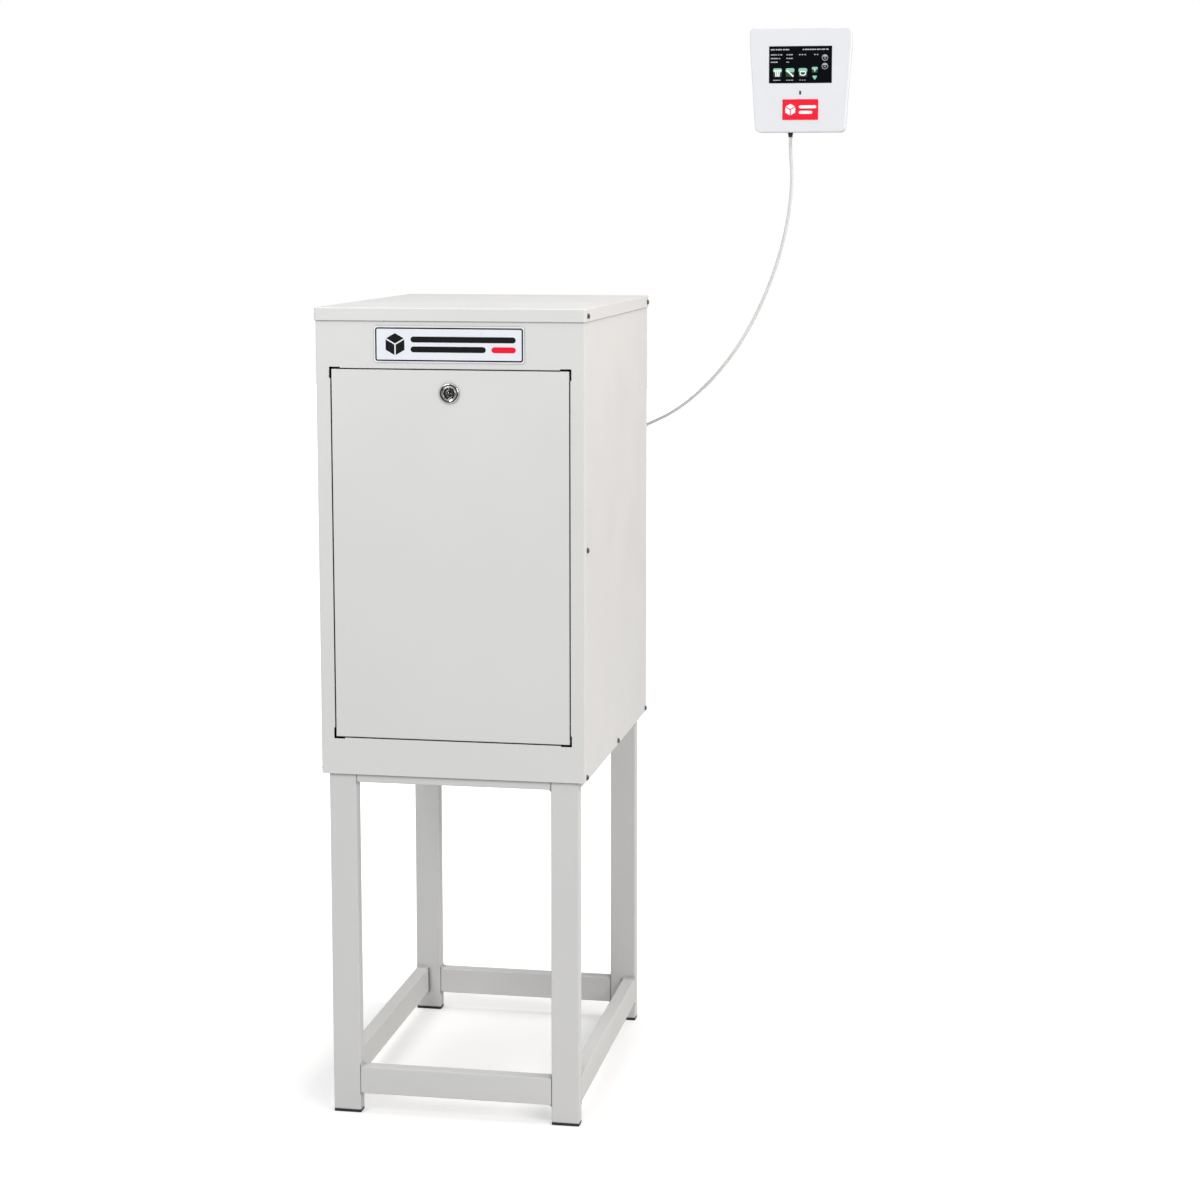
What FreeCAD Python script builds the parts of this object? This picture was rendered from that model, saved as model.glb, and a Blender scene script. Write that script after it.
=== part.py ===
"""Sheet-steel locker on a welded tube stand, with a touch panel on the wall behind it.

Frame: millimetres, origin on the floor midway between the four feet, +Z up, front of the locker towards -Y,
+X to the right of someone who faces the door.
"""
import FreeCAD, Part
import math
import os
from FreeCAD import Vector

# How far a cutting tool runs past the face it cuts, and how near counts as the same place
OVER = 1.0
SAME = 1e-6

# Stand: rectangular tube, its wide side across the front
STAND_HEIGHT = 527.0
TUBE_WIDE = 40.0
TUBE_NARROW = 20.0
TUBE_WALL = 1.5
TUBE_CORNER = 2.0
STRETCHER_BOTTOM = 29.0
FOOT_FLANGE = 4.0
FOOT_PLUG = 14.0
PLUG_CLEARANCE = 0.3

# Cabinet: folded steel sheet
CABINET_WIDTH = 380.0
CABINET_DEPTH = 526.0
CABINET_BODY = 656.5
SHEET = 1.5
REAR_OVERHANG = 23.0
SIDE_OVERHANG = 10.0
SKIRT_DROP = 28.0
FOLD_RADIUS = 2.5
REAR_RETURN = 20.0
TRAY_FLANGE = 25.0
LID_FLANGE = 18.0
LID_GAP = 0.3
REAR_SHEET = 1.2
REAR_MARGIN = 6.0
POST_DEPTH = 36.0

# Door opening
OPENING_SIDE = 19.0
OPENING_SILL = 51.0
OPENING_HEAD = 80.5
CORNER_RELIEF = 15.5
SIDE_FLANGE = 30.0
TOP_FLANGE = 16.0
DOOR_GAP = 3.0
DOOR_DEPTH = 15.0
DOOR_EDGE = 1.2
STIFFENER_WIDTH = 60.0
STIFFENER_CROWN = 30.0
STIFFENER_DEPTH = 12.0
STIFFENER_END = 40.0

# Drop-down hinge, stays and closing stops
HINGE_BACK = 6.5
SWING_CLEARANCE = 0.3
PIN_RADIUS = 2.5
PIN_CLEARANCE = 0.08
PIN_HEAD_RADIUS = 4.5
PIN_HEAD = 1.5
PIN_TAIL = 2.5
STAY_RADIUS = 107.0
STAY_WIDTH = 16.0
STAY_THICK = 2.0
STAY_GAP = 0.3
STAY_HEEL_ANGLE = 1.8
STAY_TIP = 5.3
SLOT_SPARE_ANGLE = 0.15
STUD_RADIUS = 2.5
STUD_ANGLE = 8.0
DOOR_TRAVEL = 90.0
STUD_NECK = 1.0
STUD_HEAD_RADIUS = 4.5
STUD_HEAD = 2.0
STUD_FOOT_RADIUS = 4.0
RIVET_ANGLE = 0.8
RIVET_SPACING = 9.0
RIVET_RADIUS = 1.6
RIVET_HEAD_RADIUS = 3.0
RIVET_HEAD = 1.2
STOP_SPACING = 240.0
STOP_WIDTH = 20.0
STOP_DROP = 24.0
STOP_THICK = 2.0
BEHIND_FRONT = 1.0
BUFFER_RADIUS = 6.0
BUFFER_EDGE = 1.0
BUFFER_GAP = 0.5
BUFFER_LENGTH = 10.5

# Quarter-turn double-bit lock
LOCK_BELOW_DOOR_TOP = 32.0
COLLAR_RADIUS = 14.0
COLLAR_PROUD = 2.5
COLLAR_BEVEL = 1.25
HOUSING_RADIUS = 10.0
HOUSING_BEHIND_DOOR = 5.0
PLUG_RADIUS = 7.92
PLUG_SINK = 1.0
KEY_RING_RADIUS = 5.2
KEY_PIN_RADIUS = 1.6
KEY_DEPTH = 8.0
KEY_NOTCH_WIDTH = 2.6
KEY_NOTCH_RADIUS = 7.0
KEY_NOTCH_LAP = 1.0
LOCK_NUT_FLATS = 27.0
LOCK_NUT_THICK = 5.0
CAM_GAP = 1.0
CAM_THICK = 3.0
CAM_WIDTH = 18.0
CAM_CORNER = 5.4
CAM_OVERLAP = 11.0
CAM_SQUARE = 8.0
CAM_SCREW_RADIUS = 2.5
CAM_SCREW_LENGTH = 10.5
CAM_BORE_SPARE = 0.5
CAM_SCREW_HEAD_RADIUS = 5.0
CAM_SCREW_HEAD = 3.5
CAM_SCREW_HEX = 4.0
CAM_SCREW_SOCKET = 2.1

# Sheet screws and the bolts to the stand
SCREW_RADIUS = 1.75
SCREW_HOLE = 2.0
SCREW_HEAD_RADIUS = 3.6
SCREW_HEAD = 2.6
SCREW_DOME = 1.4
CROSS_REACH = 2.0
CROSS_WIDTH = 0.94
CROSS_DEPTH = 1.3
SCREW_TIP_GAP = 1.0
SCREW_EDGE = 12.0
SIDE_SCREW_BACK = 16.0
SIDE_SCREW_RISE = 12.0
SKIRT_SCREW_UP = 6.0
LID_SCREW_DOWN = 10.0
BOLT_RADIUS = 4.0
BOLT_HOLE = 4.5
BOLT_FLATS = 13.0
BOLT_HEAD = 5.3
BOLT_INSET = 90.0
WASHER_RADIUS = 8.0
WASHER_THICK = 1.6
NUT_THICK = 6.5
BOLT_TAIL = 3.0

# Label plate, door sensor
PLATE_WIDTH = 212.0
PLATE_HEIGHT = 50.0
PLATE_THICK = 1.0
PLATE_BELOW_LID = 7.0
PLATE_CORNER = 4.0
SENSOR_X = 62.0
SENSOR_LENGTH = 32.0
SENSOR_HEIGHT = 9.0
SENSOR_DEPTH = 12.0
SENSOR_CORNER = 1.5
MAGNET_HEIGHT = 8.0
MAGNET_DEPTH = 10.0

# Equipment at the back of the cabinet
EQUIPMENT_SIDE_GAP = 40.0
EQUIPMENT_TOP_GAP = 75.5
EQUIPMENT_WIDTH = 245.0
EQUIPMENT_HEIGHT = 240.0
EQUIPMENT_SHEET = 2.0
EQUIPMENT_CORNER = 3.0
STANDOFF = 19.0
STANDOFF_RADIUS = 5.0
STANDOFF_INSET = 15.0
RAIL_HEIGHT = 35.0
RAIL_DEPTH = 7.5
RAIL_LIP = 5.0
RAIL_THICK = 1.0
RAIL_UP = 120.0
MODULE_HEIGHT = 90.0
MODULE_DEPTH = 56.0
MODULE_CORNER = 2.0
SUPPLY_WIDTH = 54.0
BREAKER_WIDTH = 18.0
CONTROLLER_WIDTH = 72.0
TERMINAL_WIDTH = 6.2
TERMINAL_COUNT = 8
TERMINAL_HEIGHT = 48.0
TERMINAL_DEPTH = 38.0
TERMINAL_BEVEL = 8.0
MODULE_SPACE = 6.0
NOSE_HEIGHT = 45.0
NOSE_PROUD = 9.0
TOGGLE_SLOT_WIDTH = 8.0
TOGGLE_SLOT_HEIGHT = 26.0
TOGGLE_SLOT_SPARE = 2.0
TOGGLE_HUB_RADIUS = 6.0
TOGGLE_HUB_SINK = 1.0
TOGGLE_WIDTH = 7.0
TOGGLE_PIN_RADIUS = 1.2
TOGGLE_PIN_REACH = 2.5
TOGGLE_PIN_SPARE = 0.5
TOGGLE_REACH = 16.0
TOGGLE_THICK = 4.0
TOGGLE_CORNER = 1.2
TOGGLE_TILT = 20.0

# Cable entry through the rear panel
GLAND_X = 118.0
GLAND_Z = 935.0
GLAND_THREAD_RADIUS = 7.8
GLAND_HOLE = 7.9
GLAND_FLATS = 20.0
GLAND_FLANGE = 5.0
GLAND_BODY_RADIUS = 8.0
GLAND_BODY = 7.0
GLAND_NOSE = 9.0
GLAND_LIP = 0.8
GLAND_INSIDE = 9.0
GLAND_NUT_THICK = 5.0
ENTRY_SIDE_GAP = 52.0
ENTRY_UP = 63.0
ENTRY_RADIUS = 10.0
ENTRY_FLANGE_RADIUS = 13.0
ENTRY_FLANGE = 3.0
ENTRY_EDGE = 1.5
ENTRY_LIP = 1.0

# Wall panel
WALL_GAP = 80.0
PANEL_X = 419.5
PANEL_BOTTOM = 1408.0
PANEL_HEIGHT = 160.0
PANEL_TOP_WIDTH = 158.5
PANEL_BOTTOM_WIDTH = 139.0
PANEL_SHOULDER = 34.0
PANEL_SHOULDER_LEAN = 0.9
PANEL_DEPTH = 25.0
PANEL_WALL = 2.5
PANEL_CORNER = 9.0
PANEL_EDGE = 2.0
SCREEN_WIDTH = 97.0
SCREEN_HEIGHT = 56.0
SCREEN_BOTTOM = 75.3
SCREEN_CLEARANCE = 0.25
GLASS_SINK = 0.4
DISPLAY_BORDER = 4.0
DISPLAY_THICK = 3.3
INDICATOR_UP = 60.5
INDICATOR_WIDTH = 3.2
INDICATOR_HEIGHT = 6.4
INDICATOR_CORNER = 1.55
INDICATOR_DEPTH = 4.0
LABEL_X = 0.5
LABEL_WIDTH = 55.5
LABEL_HEIGHT = 31.6
LABEL_BOTTOM = 19.0
LABEL_THICK = 0.4
BASE_THICK = 3.0
BASE_CLEARANCE = 0.4
BOARD_WIDTH = 110.0
BOARD_HEIGHT = 84.0
BOARD_THICK = 1.6
BOSS_RADIUS = 3.5
BOSS_INSET = 6.0
WALL_HOLE = 2.25
WALL_HOLE_X = 60.0
WALL_HOLE_Z = 100.0
RELIEF_SIDE = 15.5
RELIEF_RADIUS = 4.5
RELIEF_TIP_RADIUS = 3.4
RELIEF_LENGTH = 7.0
RELIEF_INSIDE = 6.0

# Cable from the gland to the wall panel
CABLE_RADIUS = 2.5
CABLE_OUT = 15.0
CABLE_TURN = (7.2, 28.6, -1.2)
CABLE_RISE = 24.0
CABLE_ROUTE = [
    (138.0, 332.0, 934.0),
    (155.0, 335.5, 938.5),
    (173.5, 336.0, 947.0),
    (194.0, 336.0, 956.5),
    (218.5, 336.1, 968.5),
    (246.5, 336.2, 988.0),
    (277.0, 336.4, 1015.5),
    (307.0, 336.6, 1050.0),
    (335.5, 336.8, 1092.0),
    (360.0, 337.0, 1139.5),
    (380.5, 337.2, 1190.5),
    (396.0, 337.4, 1243.5),
    (405.0, 337.8, 1296.0),
    (407.8, 339.0, 1343.5),
]

# Share of the shorter run that an arc of the cable takes up
ARC_SHARE = 0.45

# Levels and planes that follow from the sizes above; the body's front and the tray's flange hang
# in front of the stand
FRONT_OVERHANG = 2 * SHEET
STAND_WIDTH = CABINET_WIDTH - 2 * SIDE_OVERHANG
STAND_DEPTH = CABINET_DEPTH - FRONT_OVERHANG - REAR_OVERHANG
STAND_FRONT = -STAND_DEPTH / 2
FRONT = STAND_FRONT - FRONT_OVERHANG
BACK = FRONT + CABINET_DEPTH
SIDE = CABINET_WIDTH / 2
SKIRT = STAND_HEIGHT - SKIRT_DROP
SHELL_TOP = SKIRT + CABINET_BODY
LID_TOP = SHELL_TOP + SHEET
LID_EDGE = LID_TOP - LID_FLANGE
LID_OUT = LID_GAP + SHEET
SILL = SKIRT + OPENING_SILL
HEAD = SHELL_TOP - OPENING_HEAD
JAMB = SIDE - OPENING_SIDE
POST_FACE = OPENING_SIDE - 2 * SHEET
DOOR_HALF = JAMB - DOOR_GAP
DOOR_BOTTOM = SILL + DOOR_GAP
DOOR_TOP = HEAD - DOOR_GAP
DOOR_BACK = FRONT + DOOR_DEPTH
HINGE_Y = FRONT + HINGE_BACK
# The door's lower rear corner has to pass over the sill flange, so a deeper door is hinged higher
SWING_DROP = DOOR_GAP - SHEET - SWING_CLEARANCE
HINGE_UP = ((DOOR_BACK - HINGE_Y) ** 2 - SWING_DROP ** 2) / (2 * SWING_DROP)
HINGE_Z = DOOR_BOTTOM + HINGE_UP
LOCK_Z = DOOR_TOP - LOCK_BELOW_DOOR_TOP
HOUSING_BACK = DOOR_BACK + HOUSING_BEHIND_DOOR
CAM_FRONT = HOUSING_BACK + CAM_GAP
CAM_BACK = CAM_FRONT + CAM_THICK
REAR_FACE = BACK + REAR_SHEET
WALL = BACK + WALL_GAP
PANEL_FRONT = WALL - PANEL_DEPTH
PLATE_BACK = BACK - STANDOFF
PLATE_FRONT = PLATE_BACK - EQUIPMENT_SHEET
EQUIPMENT_LEFT = -SIDE + EQUIPMENT_SIDE_GAP
EQUIPMENT_RIGHT = EQUIPMENT_LEFT + EQUIPMENT_WIDTH
EQUIPMENT_TOP = SHELL_TOP - EQUIPMENT_TOP_GAP
EQUIPMENT_BOTTOM = EQUIPMENT_TOP - EQUIPMENT_HEIGHT
SCREW_LENGTH = SIDE_OVERHANG - SCREW_TIP_GAP
ENTRY_X = -SIDE + ENTRY_SIDE_GAP
ENTRY_Z = STAND_HEIGHT + ENTRY_UP
RAIL_Z = EQUIPMENT_BOTTOM + RAIL_UP
RAIL_FRONT = PLATE_FRONT - RAIL_DEPTH
MODULE_FRONT = RAIL_FRONT - MODULE_DEPTH
RELIEF_X = PANEL_X - RELIEF_SIDE
RELIEF_Y = (PANEL_FRONT + WALL) / 2

X_AXIS = Vector(1, 0, 0)
Y_AXIS = Vector(0, 1, 0)
Z_AXIS = Vector(0, 0, 1)


def block(x0, x1, y0, y1, z0, z1):
    """A box between two corners."""
    return Part.makeBox(x1 - x0, y1 - y0, z1 - z0, Vector(x0, y0, z0))


def rod(radius, start, end):
    """A round bar between two points."""
    a = Vector(*start)
    b = Vector(*end)
    return Part.makeCylinder(radius, (b - a).Length, a, b - a)


def taper(radius_a, radius_b, start, end):
    """A cone between two points."""
    a = Vector(*start)
    b = Vector(*end)
    return Part.makeCone(radius_a, radius_b, (b - a).Length, a, b - a)


def hexagon(flats, start, end, corner=X_AXIS):
    """A hexagonal bar between two points, one of its corners towards the direction corner."""
    a = Vector(*start)
    span = Vector(*end) - a
    across = span.cross(corner).normalize()
    corners = []
    for i in range(7):
        turn = math.radians(60 * i)
        corners.append(a + (corner * math.cos(turn) + across * math.sin(turn)) * (flats / math.sqrt(3)))
    return Part.Face(Part.makePolygon(corners)).extrude(span)


def edges_along(shape, axis, keep=None):
    """Straight edges of a shape that run along an axis, those that pass the test keep."""
    found = []
    for edge in shape.Edges:
        if len(edge.Vertexes) != 2:
            continue
        span = edge.Vertexes[1].Point - edge.Vertexes[0].Point
        if span.Length > SAME and abs(abs(span.normalize().dot(axis)) - 1) < SAME:
            if keep is None or keep(edge.CenterOfMass):
                found.append(edge)
    return found


def rounded(shape, radius, axis, keep=None):
    """The shape with its edges along an axis rounded."""
    return shape.makeFillet(radius, edges_along(shape, axis, keep))


def rim(shape, axis, level):
    """The edges of a shape whose middles lie at a level along an axis."""
    return [edge for edge in shape.Edges if abs(edge.CenterOfMass.dot(axis) - level) < SAME]


def fused(shapes):
    """Several solids joined into one, with the seams between flat faces removed."""
    whole = shapes[0]
    for shape in shapes[1:]:
        whole = whole.fuse(shape)
    return whole.removeSplitter()


def cut_all(shape, tools):
    """A shape less each tool."""
    for tool in tools:
        shape = shape.cut(tool)
    return shape


def save(name, shape):
    """Write one node."""
    solids = shape if isinstance(shape, list) else [shape]
    out = Part.makeCompound(solids) if len(solids) > 1 else solids[0]
    assert out.isValid(), name
    out.exportStep("parts/" + name + ".step")
    print(f"{name}: {len(out.Solids)} solid(s), {out.Volume / 1000:.2f} cm3")


def mirrored(shape):
    """The same piece on the other side of the locker."""
    return shape.mirror(Vector(0, 0, 0), X_AXIS)


# ---------------------------------------------------------------- stand

def tube(x0, x1, y0, y1, z0, z1, axis):
    """A rectangular tube, open at both ends of its axis."""
    outer = rounded(block(x0, x1, y0, y1, z0, z1), TUBE_CORNER, axis)
    wall = [0 if axis[i] else TUBE_WALL for i in range(3)]
    inner = block(x0 + wall[0], x1 - wall[0], y0 + wall[1], y1 - wall[1], z0 + wall[2], z1 - wall[2])
    return outer.cut(rounded(inner, TUBE_CORNER - TUBE_WALL, axis))


def stand_bolt_places():
    """Where the four bolts pass from the floor tray into the side top rails."""
    x = STAND_WIDTH / 2 - TUBE_NARROW / 2
    y = STAND_DEPTH / 2 - BOLT_INSET
    return [(sx * x, sy * y) for sx in (-1, 1) for sy in (-1, 1)]


def make_stand():
    half_x = STAND_WIDTH / 2
    half_y = STAND_DEPTH / 2
    middle = STAND_HEIGHT - TUBE_WIDE / 2
    above = STAND_HEIGHT + OVER
    bolt_holes = [rod(BOLT_HOLE, (x, y, middle), (x, y, above)) for x, y in stand_bolt_places()]
    feet = []
    for side, sx in (("left", -1), ("right", 1)):
        for end, sy in (("front", -1), ("rear", 1)):
            x0, x1 = sorted((sx * half_x, sx * (half_x - TUBE_WIDE)))
            y0, y1 = sorted((sy * half_y, sy * (half_y - TUBE_NARROW)))
            save(f"leg_{end}_{side}", tube(x0, x1, y0, y1, FOOT_FLANGE, STAND_HEIGHT, Z_AXIS))
            flange = rounded(block(x0, x1, y0, y1, 0, FOOT_FLANGE), TUBE_CORNER, Z_AXIS)
            inset = TUBE_WALL + PLUG_CLEARANCE
            plug = block(x0 + inset, x1 - inset, y0 + inset, y1 - inset, 0, FOOT_FLANGE + FOOT_PLUG)
            feet.append(fused([flange, plug]))
    save("foot_caps", feet)
    levels = {"top_rail": STAND_HEIGHT - TUBE_WIDE, "stretcher": STRETCHER_BOTTOM}
    inner_x = half_x - TUBE_WIDE
    inner_y = half_y - TUBE_NARROW
    for name, low in levels.items():
        high = low + TUBE_WIDE
        save(name + "_front", tube(-inner_x, inner_x, -half_y, -inner_y, low, high, X_AXIS))
        save(name + "_rear", tube(-inner_x, inner_x, inner_y, half_y, low, high, X_AXIS))
        for side, sx in (("left", -1), ("right", 1)):
            x0, x1 = sorted((sx * half_x, sx * (half_x - TUBE_NARROW)))
            rail = tube(x0, x1, -inner_y, inner_y, low, high, Y_AXIS)
            save(f"{name}_{side}", cut_all(rail, bolt_holes) if name == "top_rail" else rail)


# ---------------------------------------------------------------- screws

def side_screw_places():
    """Height and depth of the screws in each side of the body: one by the door, three in the skirt."""
    skirt = SKIRT + SKIRT_SCREW_UP
    middle = (FRONT + BACK) / 2
    return [
        (FRONT + SIDE_SCREW_BACK, (SILL + HEAD) / 2 + SIDE_SCREW_RISE),
        (FRONT + SCREW_EDGE, skirt),
        (middle, skirt),
        (BACK - SCREW_EDGE, skirt),
    ]


def lid_screw_places():
    """Depth and height of the screws in each side of the lid."""
    height = LID_TOP - LID_SCREW_DOWN
    return [(FRONT + SCREW_EDGE, height), (BACK - SCREW_EDGE, height)]


def rear_screw_places():
    """Places of the screws round the rear panel, in its four corners and half way up."""
    x = SIDE - SHEET - REAR_RETURN / 2
    low = STAND_HEIGHT + SHEET + SCREW_EDGE
    high = LID_EDGE - REAR_MARGIN - SCREW_EDGE
    return [(sx * x, z) for sx in (-1, 1) for z in (low, (low + high) / 2, high)]


def side_screw(y, z, face):
    """A pan-head screw that enters the right side; face is the x of the surface under its head."""
    top = face + SCREW_HEAD
    head = rod(SCREW_HEAD_RADIUS, (face, y, z), (top, y, z))
    head = head.makeFillet(SCREW_DOME, rim(head, X_AXIS, top))
    shank = rod(SCREW_RADIUS, (face - SCREW_LENGTH, y, z), (face, y, z))
    arm = CROSS_REACH
    slot = CROSS_WIDTH / 2
    cross = [
        block(top - CROSS_DEPTH, top + OVER, y - arm, y + arm, z - slot, z + slot),
        block(top - CROSS_DEPTH, top + OVER, y - slot, y + slot, z - arm, z + arm),
    ]
    return cut_all(fused([head, shank]), cross)


def rear_screw(x, z):
    """The same screw, entering the rear panel."""
    screw = side_screw(0, 0, 0)
    screw.rotate(Vector(0, 0, 0), Z_AXIS, 90)
    screw.translate(Vector(x, REAR_FACE, z))
    return screw


def side_holes(places, reach):
    """Clearance holes through both sides for screws at the given depths and heights."""
    return [rod(SCREW_HOLE, (-reach, y, z), (reach, y, z)) for y, z in places]


def make_screws():
    right = [side_screw(y, z, SIDE) for y, z in side_screw_places()]
    save("side_screws", right + [mirrored(s) for s in right])
    right = [side_screw(y, z, SIDE + LID_OUT) for y, z in lid_screw_places()]
    save("lid_screws", right + [mirrored(s) for s in right])
    save("rear_screws", [rear_screw(x, z) for x, z in rear_screw_places()])
    bolts = []
    washers = []
    nuts = []
    floor = STAND_HEIGHT + SHEET
    under = STAND_HEIGHT - TUBE_WALL
    for x, y in stand_bolt_places():
        seat = floor + WASHER_THICK
        washer = rod(WASHER_RADIUS, (x, y, floor), (x, y, seat))
        washers.append(washer.cut(rod(BOLT_HOLE, (x, y, floor - OVER), (x, y, seat + OVER))))
        head = hexagon(BOLT_FLATS, (x, y, seat), (x, y, seat + BOLT_HEAD), Y_AXIS)
        bolts.append(fused([head, rod(BOLT_RADIUS, (x, y, under - NUT_THICK - BOLT_TAIL), (x, y, seat))]))
        nut = hexagon(BOLT_FLATS, (x, y, under - NUT_THICK), (x, y, under), Y_AXIS)
        nuts.append(nut.cut(rod(BOLT_RADIUS, (x, y, under - NUT_THICK - OVER), (x, y, under + OVER))))
    save("stand_bolts", bolts)
    save("stand_washers", washers)
    save("stand_nuts", nuts)


# ---------------------------------------------------------------- cabinet

def opening_flanges():
    """The four strips turned inwards round the door opening; they stop short of its corners."""
    low = SILL + CORNER_RELIEF
    high = HEAD - CORNER_RELIEF
    wide = JAMB - CORNER_RELIEF
    return [
        block(JAMB - SHEET, JAMB, FRONT, FRONT + SIDE_FLANGE, low, high),
        block(-JAMB, -JAMB + SHEET, FRONT, FRONT + SIDE_FLANGE, low, high),
        block(-wide, wide, FRONT, FRONT + TOP_FLANGE, SILL, SILL + SHEET),
        block(-wide, wide, FRONT, FRONT + TOP_FLANGE, HEAD - SHEET, HEAD),
    ]


def stay_point(radius, degrees):
    """A point at a radius from the hinge axis; 0 degrees is straight up and 90 straight back."""
    turn = math.radians(degrees)
    return HINGE_Y + radius * math.sin(turn), HINGE_Z + radius * math.cos(turn)


def make_body_shell():
    """Front and both sides folded from one sheet, with the door opening and the rear returns."""
    outer = block(-SIDE, SIDE, FRONT, BACK, SKIRT, SHELL_TOP)
    outer = rounded(outer, FOLD_RADIUS, Z_AXIS)
    low = SKIRT - OVER
    high = SHELL_TOP + OVER
    inner = block(-SIDE + SHEET, SIDE - SHEET, FRONT + SHEET, BACK - SHEET, low, high)
    shell = outer.cut(rounded(inner, FOLD_RADIUS - SHEET, Z_AXIS))
    open_back = SIDE - SHEET - REAR_RETURN
    shell = shell.cut(block(-open_back, open_back, BACK - 2 * SHEET, BACK + OVER, low, high))
    shell = shell.cut(block(-JAMB, JAMB, FRONT - OVER, FRONT + 2 * SHEET, SILL, HEAD))
    shell = fused([shell] + opening_flanges())
    stud_y, stud_z = stay_point(STAY_RADIUS, STUD_ANGLE)
    reach = JAMB + OVER
    tools = [
        rod(PIN_RADIUS + PIN_CLEARANCE, (-reach, HINGE_Y, HINGE_Z), (reach, HINGE_Y, HINGE_Z)),
        rod(STUD_RADIUS, (-reach, stud_y, stud_z), (reach, stud_y, stud_z)),
    ]
    tools += side_holes(side_screw_places() + lid_screw_places(), SIDE + OVER)
    tools += [rod(SCREW_HOLE, (x, BACK - 2 * SHEET, z), (x, BACK + OVER, z)) for x, z in rear_screw_places()]
    save("body_shell", cut_all(shell, tools))


def make_floor_tray():
    """A floor with turned-down edges that sits on the stand's top rails."""
    x = SIDE - SHEET
    y0 = FRONT + SHEET
    y1 = BACK - SHEET
    top = STAND_HEIGHT + SHEET
    outer = rounded(block(-x, x, y0, y1, top - TRAY_FLANGE, top), FOLD_RADIUS, Z_AXIS)
    low = top - TRAY_FLANGE - OVER
    hollow = block(-x + SHEET, x - SHEET, y0 + SHEET, y1 - SHEET, low, STAND_HEIGHT)
    tray = outer.cut(rounded(hollow, FOLD_RADIUS - SHEET, Z_AXIS))
    tools = side_holes(side_screw_places()[1:], x + OVER)
    for bolt_x, bolt_y in stand_bolt_places():
        tools.append(rod(BOLT_HOLE, (bolt_x, bolt_y, low), (bolt_x, bolt_y, top + OVER)))
    save("floor_tray", cut_all(tray, tools))


def make_lid():
    x = SIDE + LID_OUT
    y0 = FRONT - LID_OUT
    y1 = BACK + LID_OUT
    outer = rounded(block(-x, x, y0, y1, LID_EDGE, LID_TOP), FOLD_RADIUS + SHEET, Z_AXIS)
    outer = outer.makeFillet(SHEET, rim(outer, Z_AXIS, LID_TOP))
    inner = block(-x + SHEET, x - SHEET, y0 + SHEET, y1 - SHEET, LID_EDGE - OVER, SHELL_TOP)
    lid = outer.cut(rounded(inner, FOLD_RADIUS, Z_AXIS))
    save("lid", cut_all(lid, side_holes(lid_screw_places(), x + OVER)))


def make_rear_panel():
    x = SIDE - SHEET
    low = SKIRT + REAR_MARGIN
    high = LID_EDGE - REAR_MARGIN
    panel = rounded(block(-x, x, BACK, REAR_FACE, low, high), FOLD_RADIUS, Y_AXIS)
    holes = [(SCREW_HOLE, sx, z) for sx, z in rear_screw_places()]
    holes += [(GLAND_HOLE, GLAND_X, GLAND_Z), (ENTRY_RADIUS, ENTRY_X, ENTRY_Z)]
    tools = [rod(radius, (hx, BACK - OVER, z), (hx, REAR_FACE + OVER, z)) for radius, hx, z in holes]
    save("rear_panel", cut_all(panel, tools))


def make_door_posts():
    """Angles that stiffen the front edges; the screw beside the door passes into each."""
    x1 = SIDE - SHEET
    x0 = x1 - POST_FACE
    y0 = FRONT + SHEET
    low = STAND_HEIGHT + SHEET
    high = LID_EDGE
    post = block(x0, x1, y0, y0 + POST_DEPTH, low, high)
    post = rounded(post, FOLD_RADIUS, Z_AXIS, lambda c: c.x > x1 - SAME and c.y < y0 + SAME)
    inside = block(x0 - OVER, x1 - SHEET, y0 + SHEET, y0 + POST_DEPTH + OVER, low - OVER, high + OVER)
    post = post.cut(inside)
    post = cut_all(post, side_holes(side_screw_places()[:1], SIDE))
    save("door_posts", [post, mirrored(post)])


def make_label_plate():
    high = LID_EDGE - PLATE_BELOW_LID
    plate = block(-PLATE_WIDTH / 2, PLATE_WIDTH / 2, FRONT - PLATE_THICK, FRONT, high - PLATE_HEIGHT, high)
    save("label_plate", rounded(plate, PLATE_CORNER, Y_AXIS))


# ---------------------------------------------------------------- door

def make_door():
    half = DOOR_HALF
    pan = block(-half, half, FRONT, DOOR_BACK, DOOR_BOTTOM, DOOR_TOP)
    pan = pan.makeFillet(DOOR_EDGE, rim(pan, Y_AXIS, FRONT))
    wide = half - SHEET
    tools = [
        block(-wide, wide, FRONT + SHEET, DOOR_BACK + OVER, DOOR_BOTTOM + SHEET, DOOR_TOP - SHEET),
        rod(HOUSING_RADIUS, (0, FRONT - OVER, LOCK_Z), (0, FRONT + 2 * SHEET, LOCK_Z)),
        rod(PIN_RADIUS, (-half - OVER, HINGE_Y, HINGE_Z), (half + OVER, HINGE_Y, HINGE_Z)),
    ]
    tools += [rod(RIVET_RADIUS, (-half - OVER, y, z), (half + OVER, y, z)) for y, z in stay_rivet_places()]
    save("door_panel", cut_all(pan, tools))
    low = DOOR_BOTTOM + STIFFENER_END
    high = LOCK_Z - STIFFENER_END
    y0 = FRONT + SHEET
    y1 = y0 + STIFFENER_DEPTH
    hat = block(-STIFFENER_WIDTH / 2, STIFFENER_WIDTH / 2, y0, y1, low, high)
    crown = STIFFENER_CROWN / 2
    low -= OVER
    high += OVER
    outside = [
        block(crown, STIFFENER_WIDTH, y0 + SHEET, y1 + OVER, low, high),
        block(-STIFFENER_WIDTH, -crown, y0 + SHEET, y1 + OVER, low, high),
        block(-crown + SHEET, crown - SHEET, y0 - OVER, y1 - SHEET, low, high),
    ]
    save("door_stiffener", cut_all(hat, outside))


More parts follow.
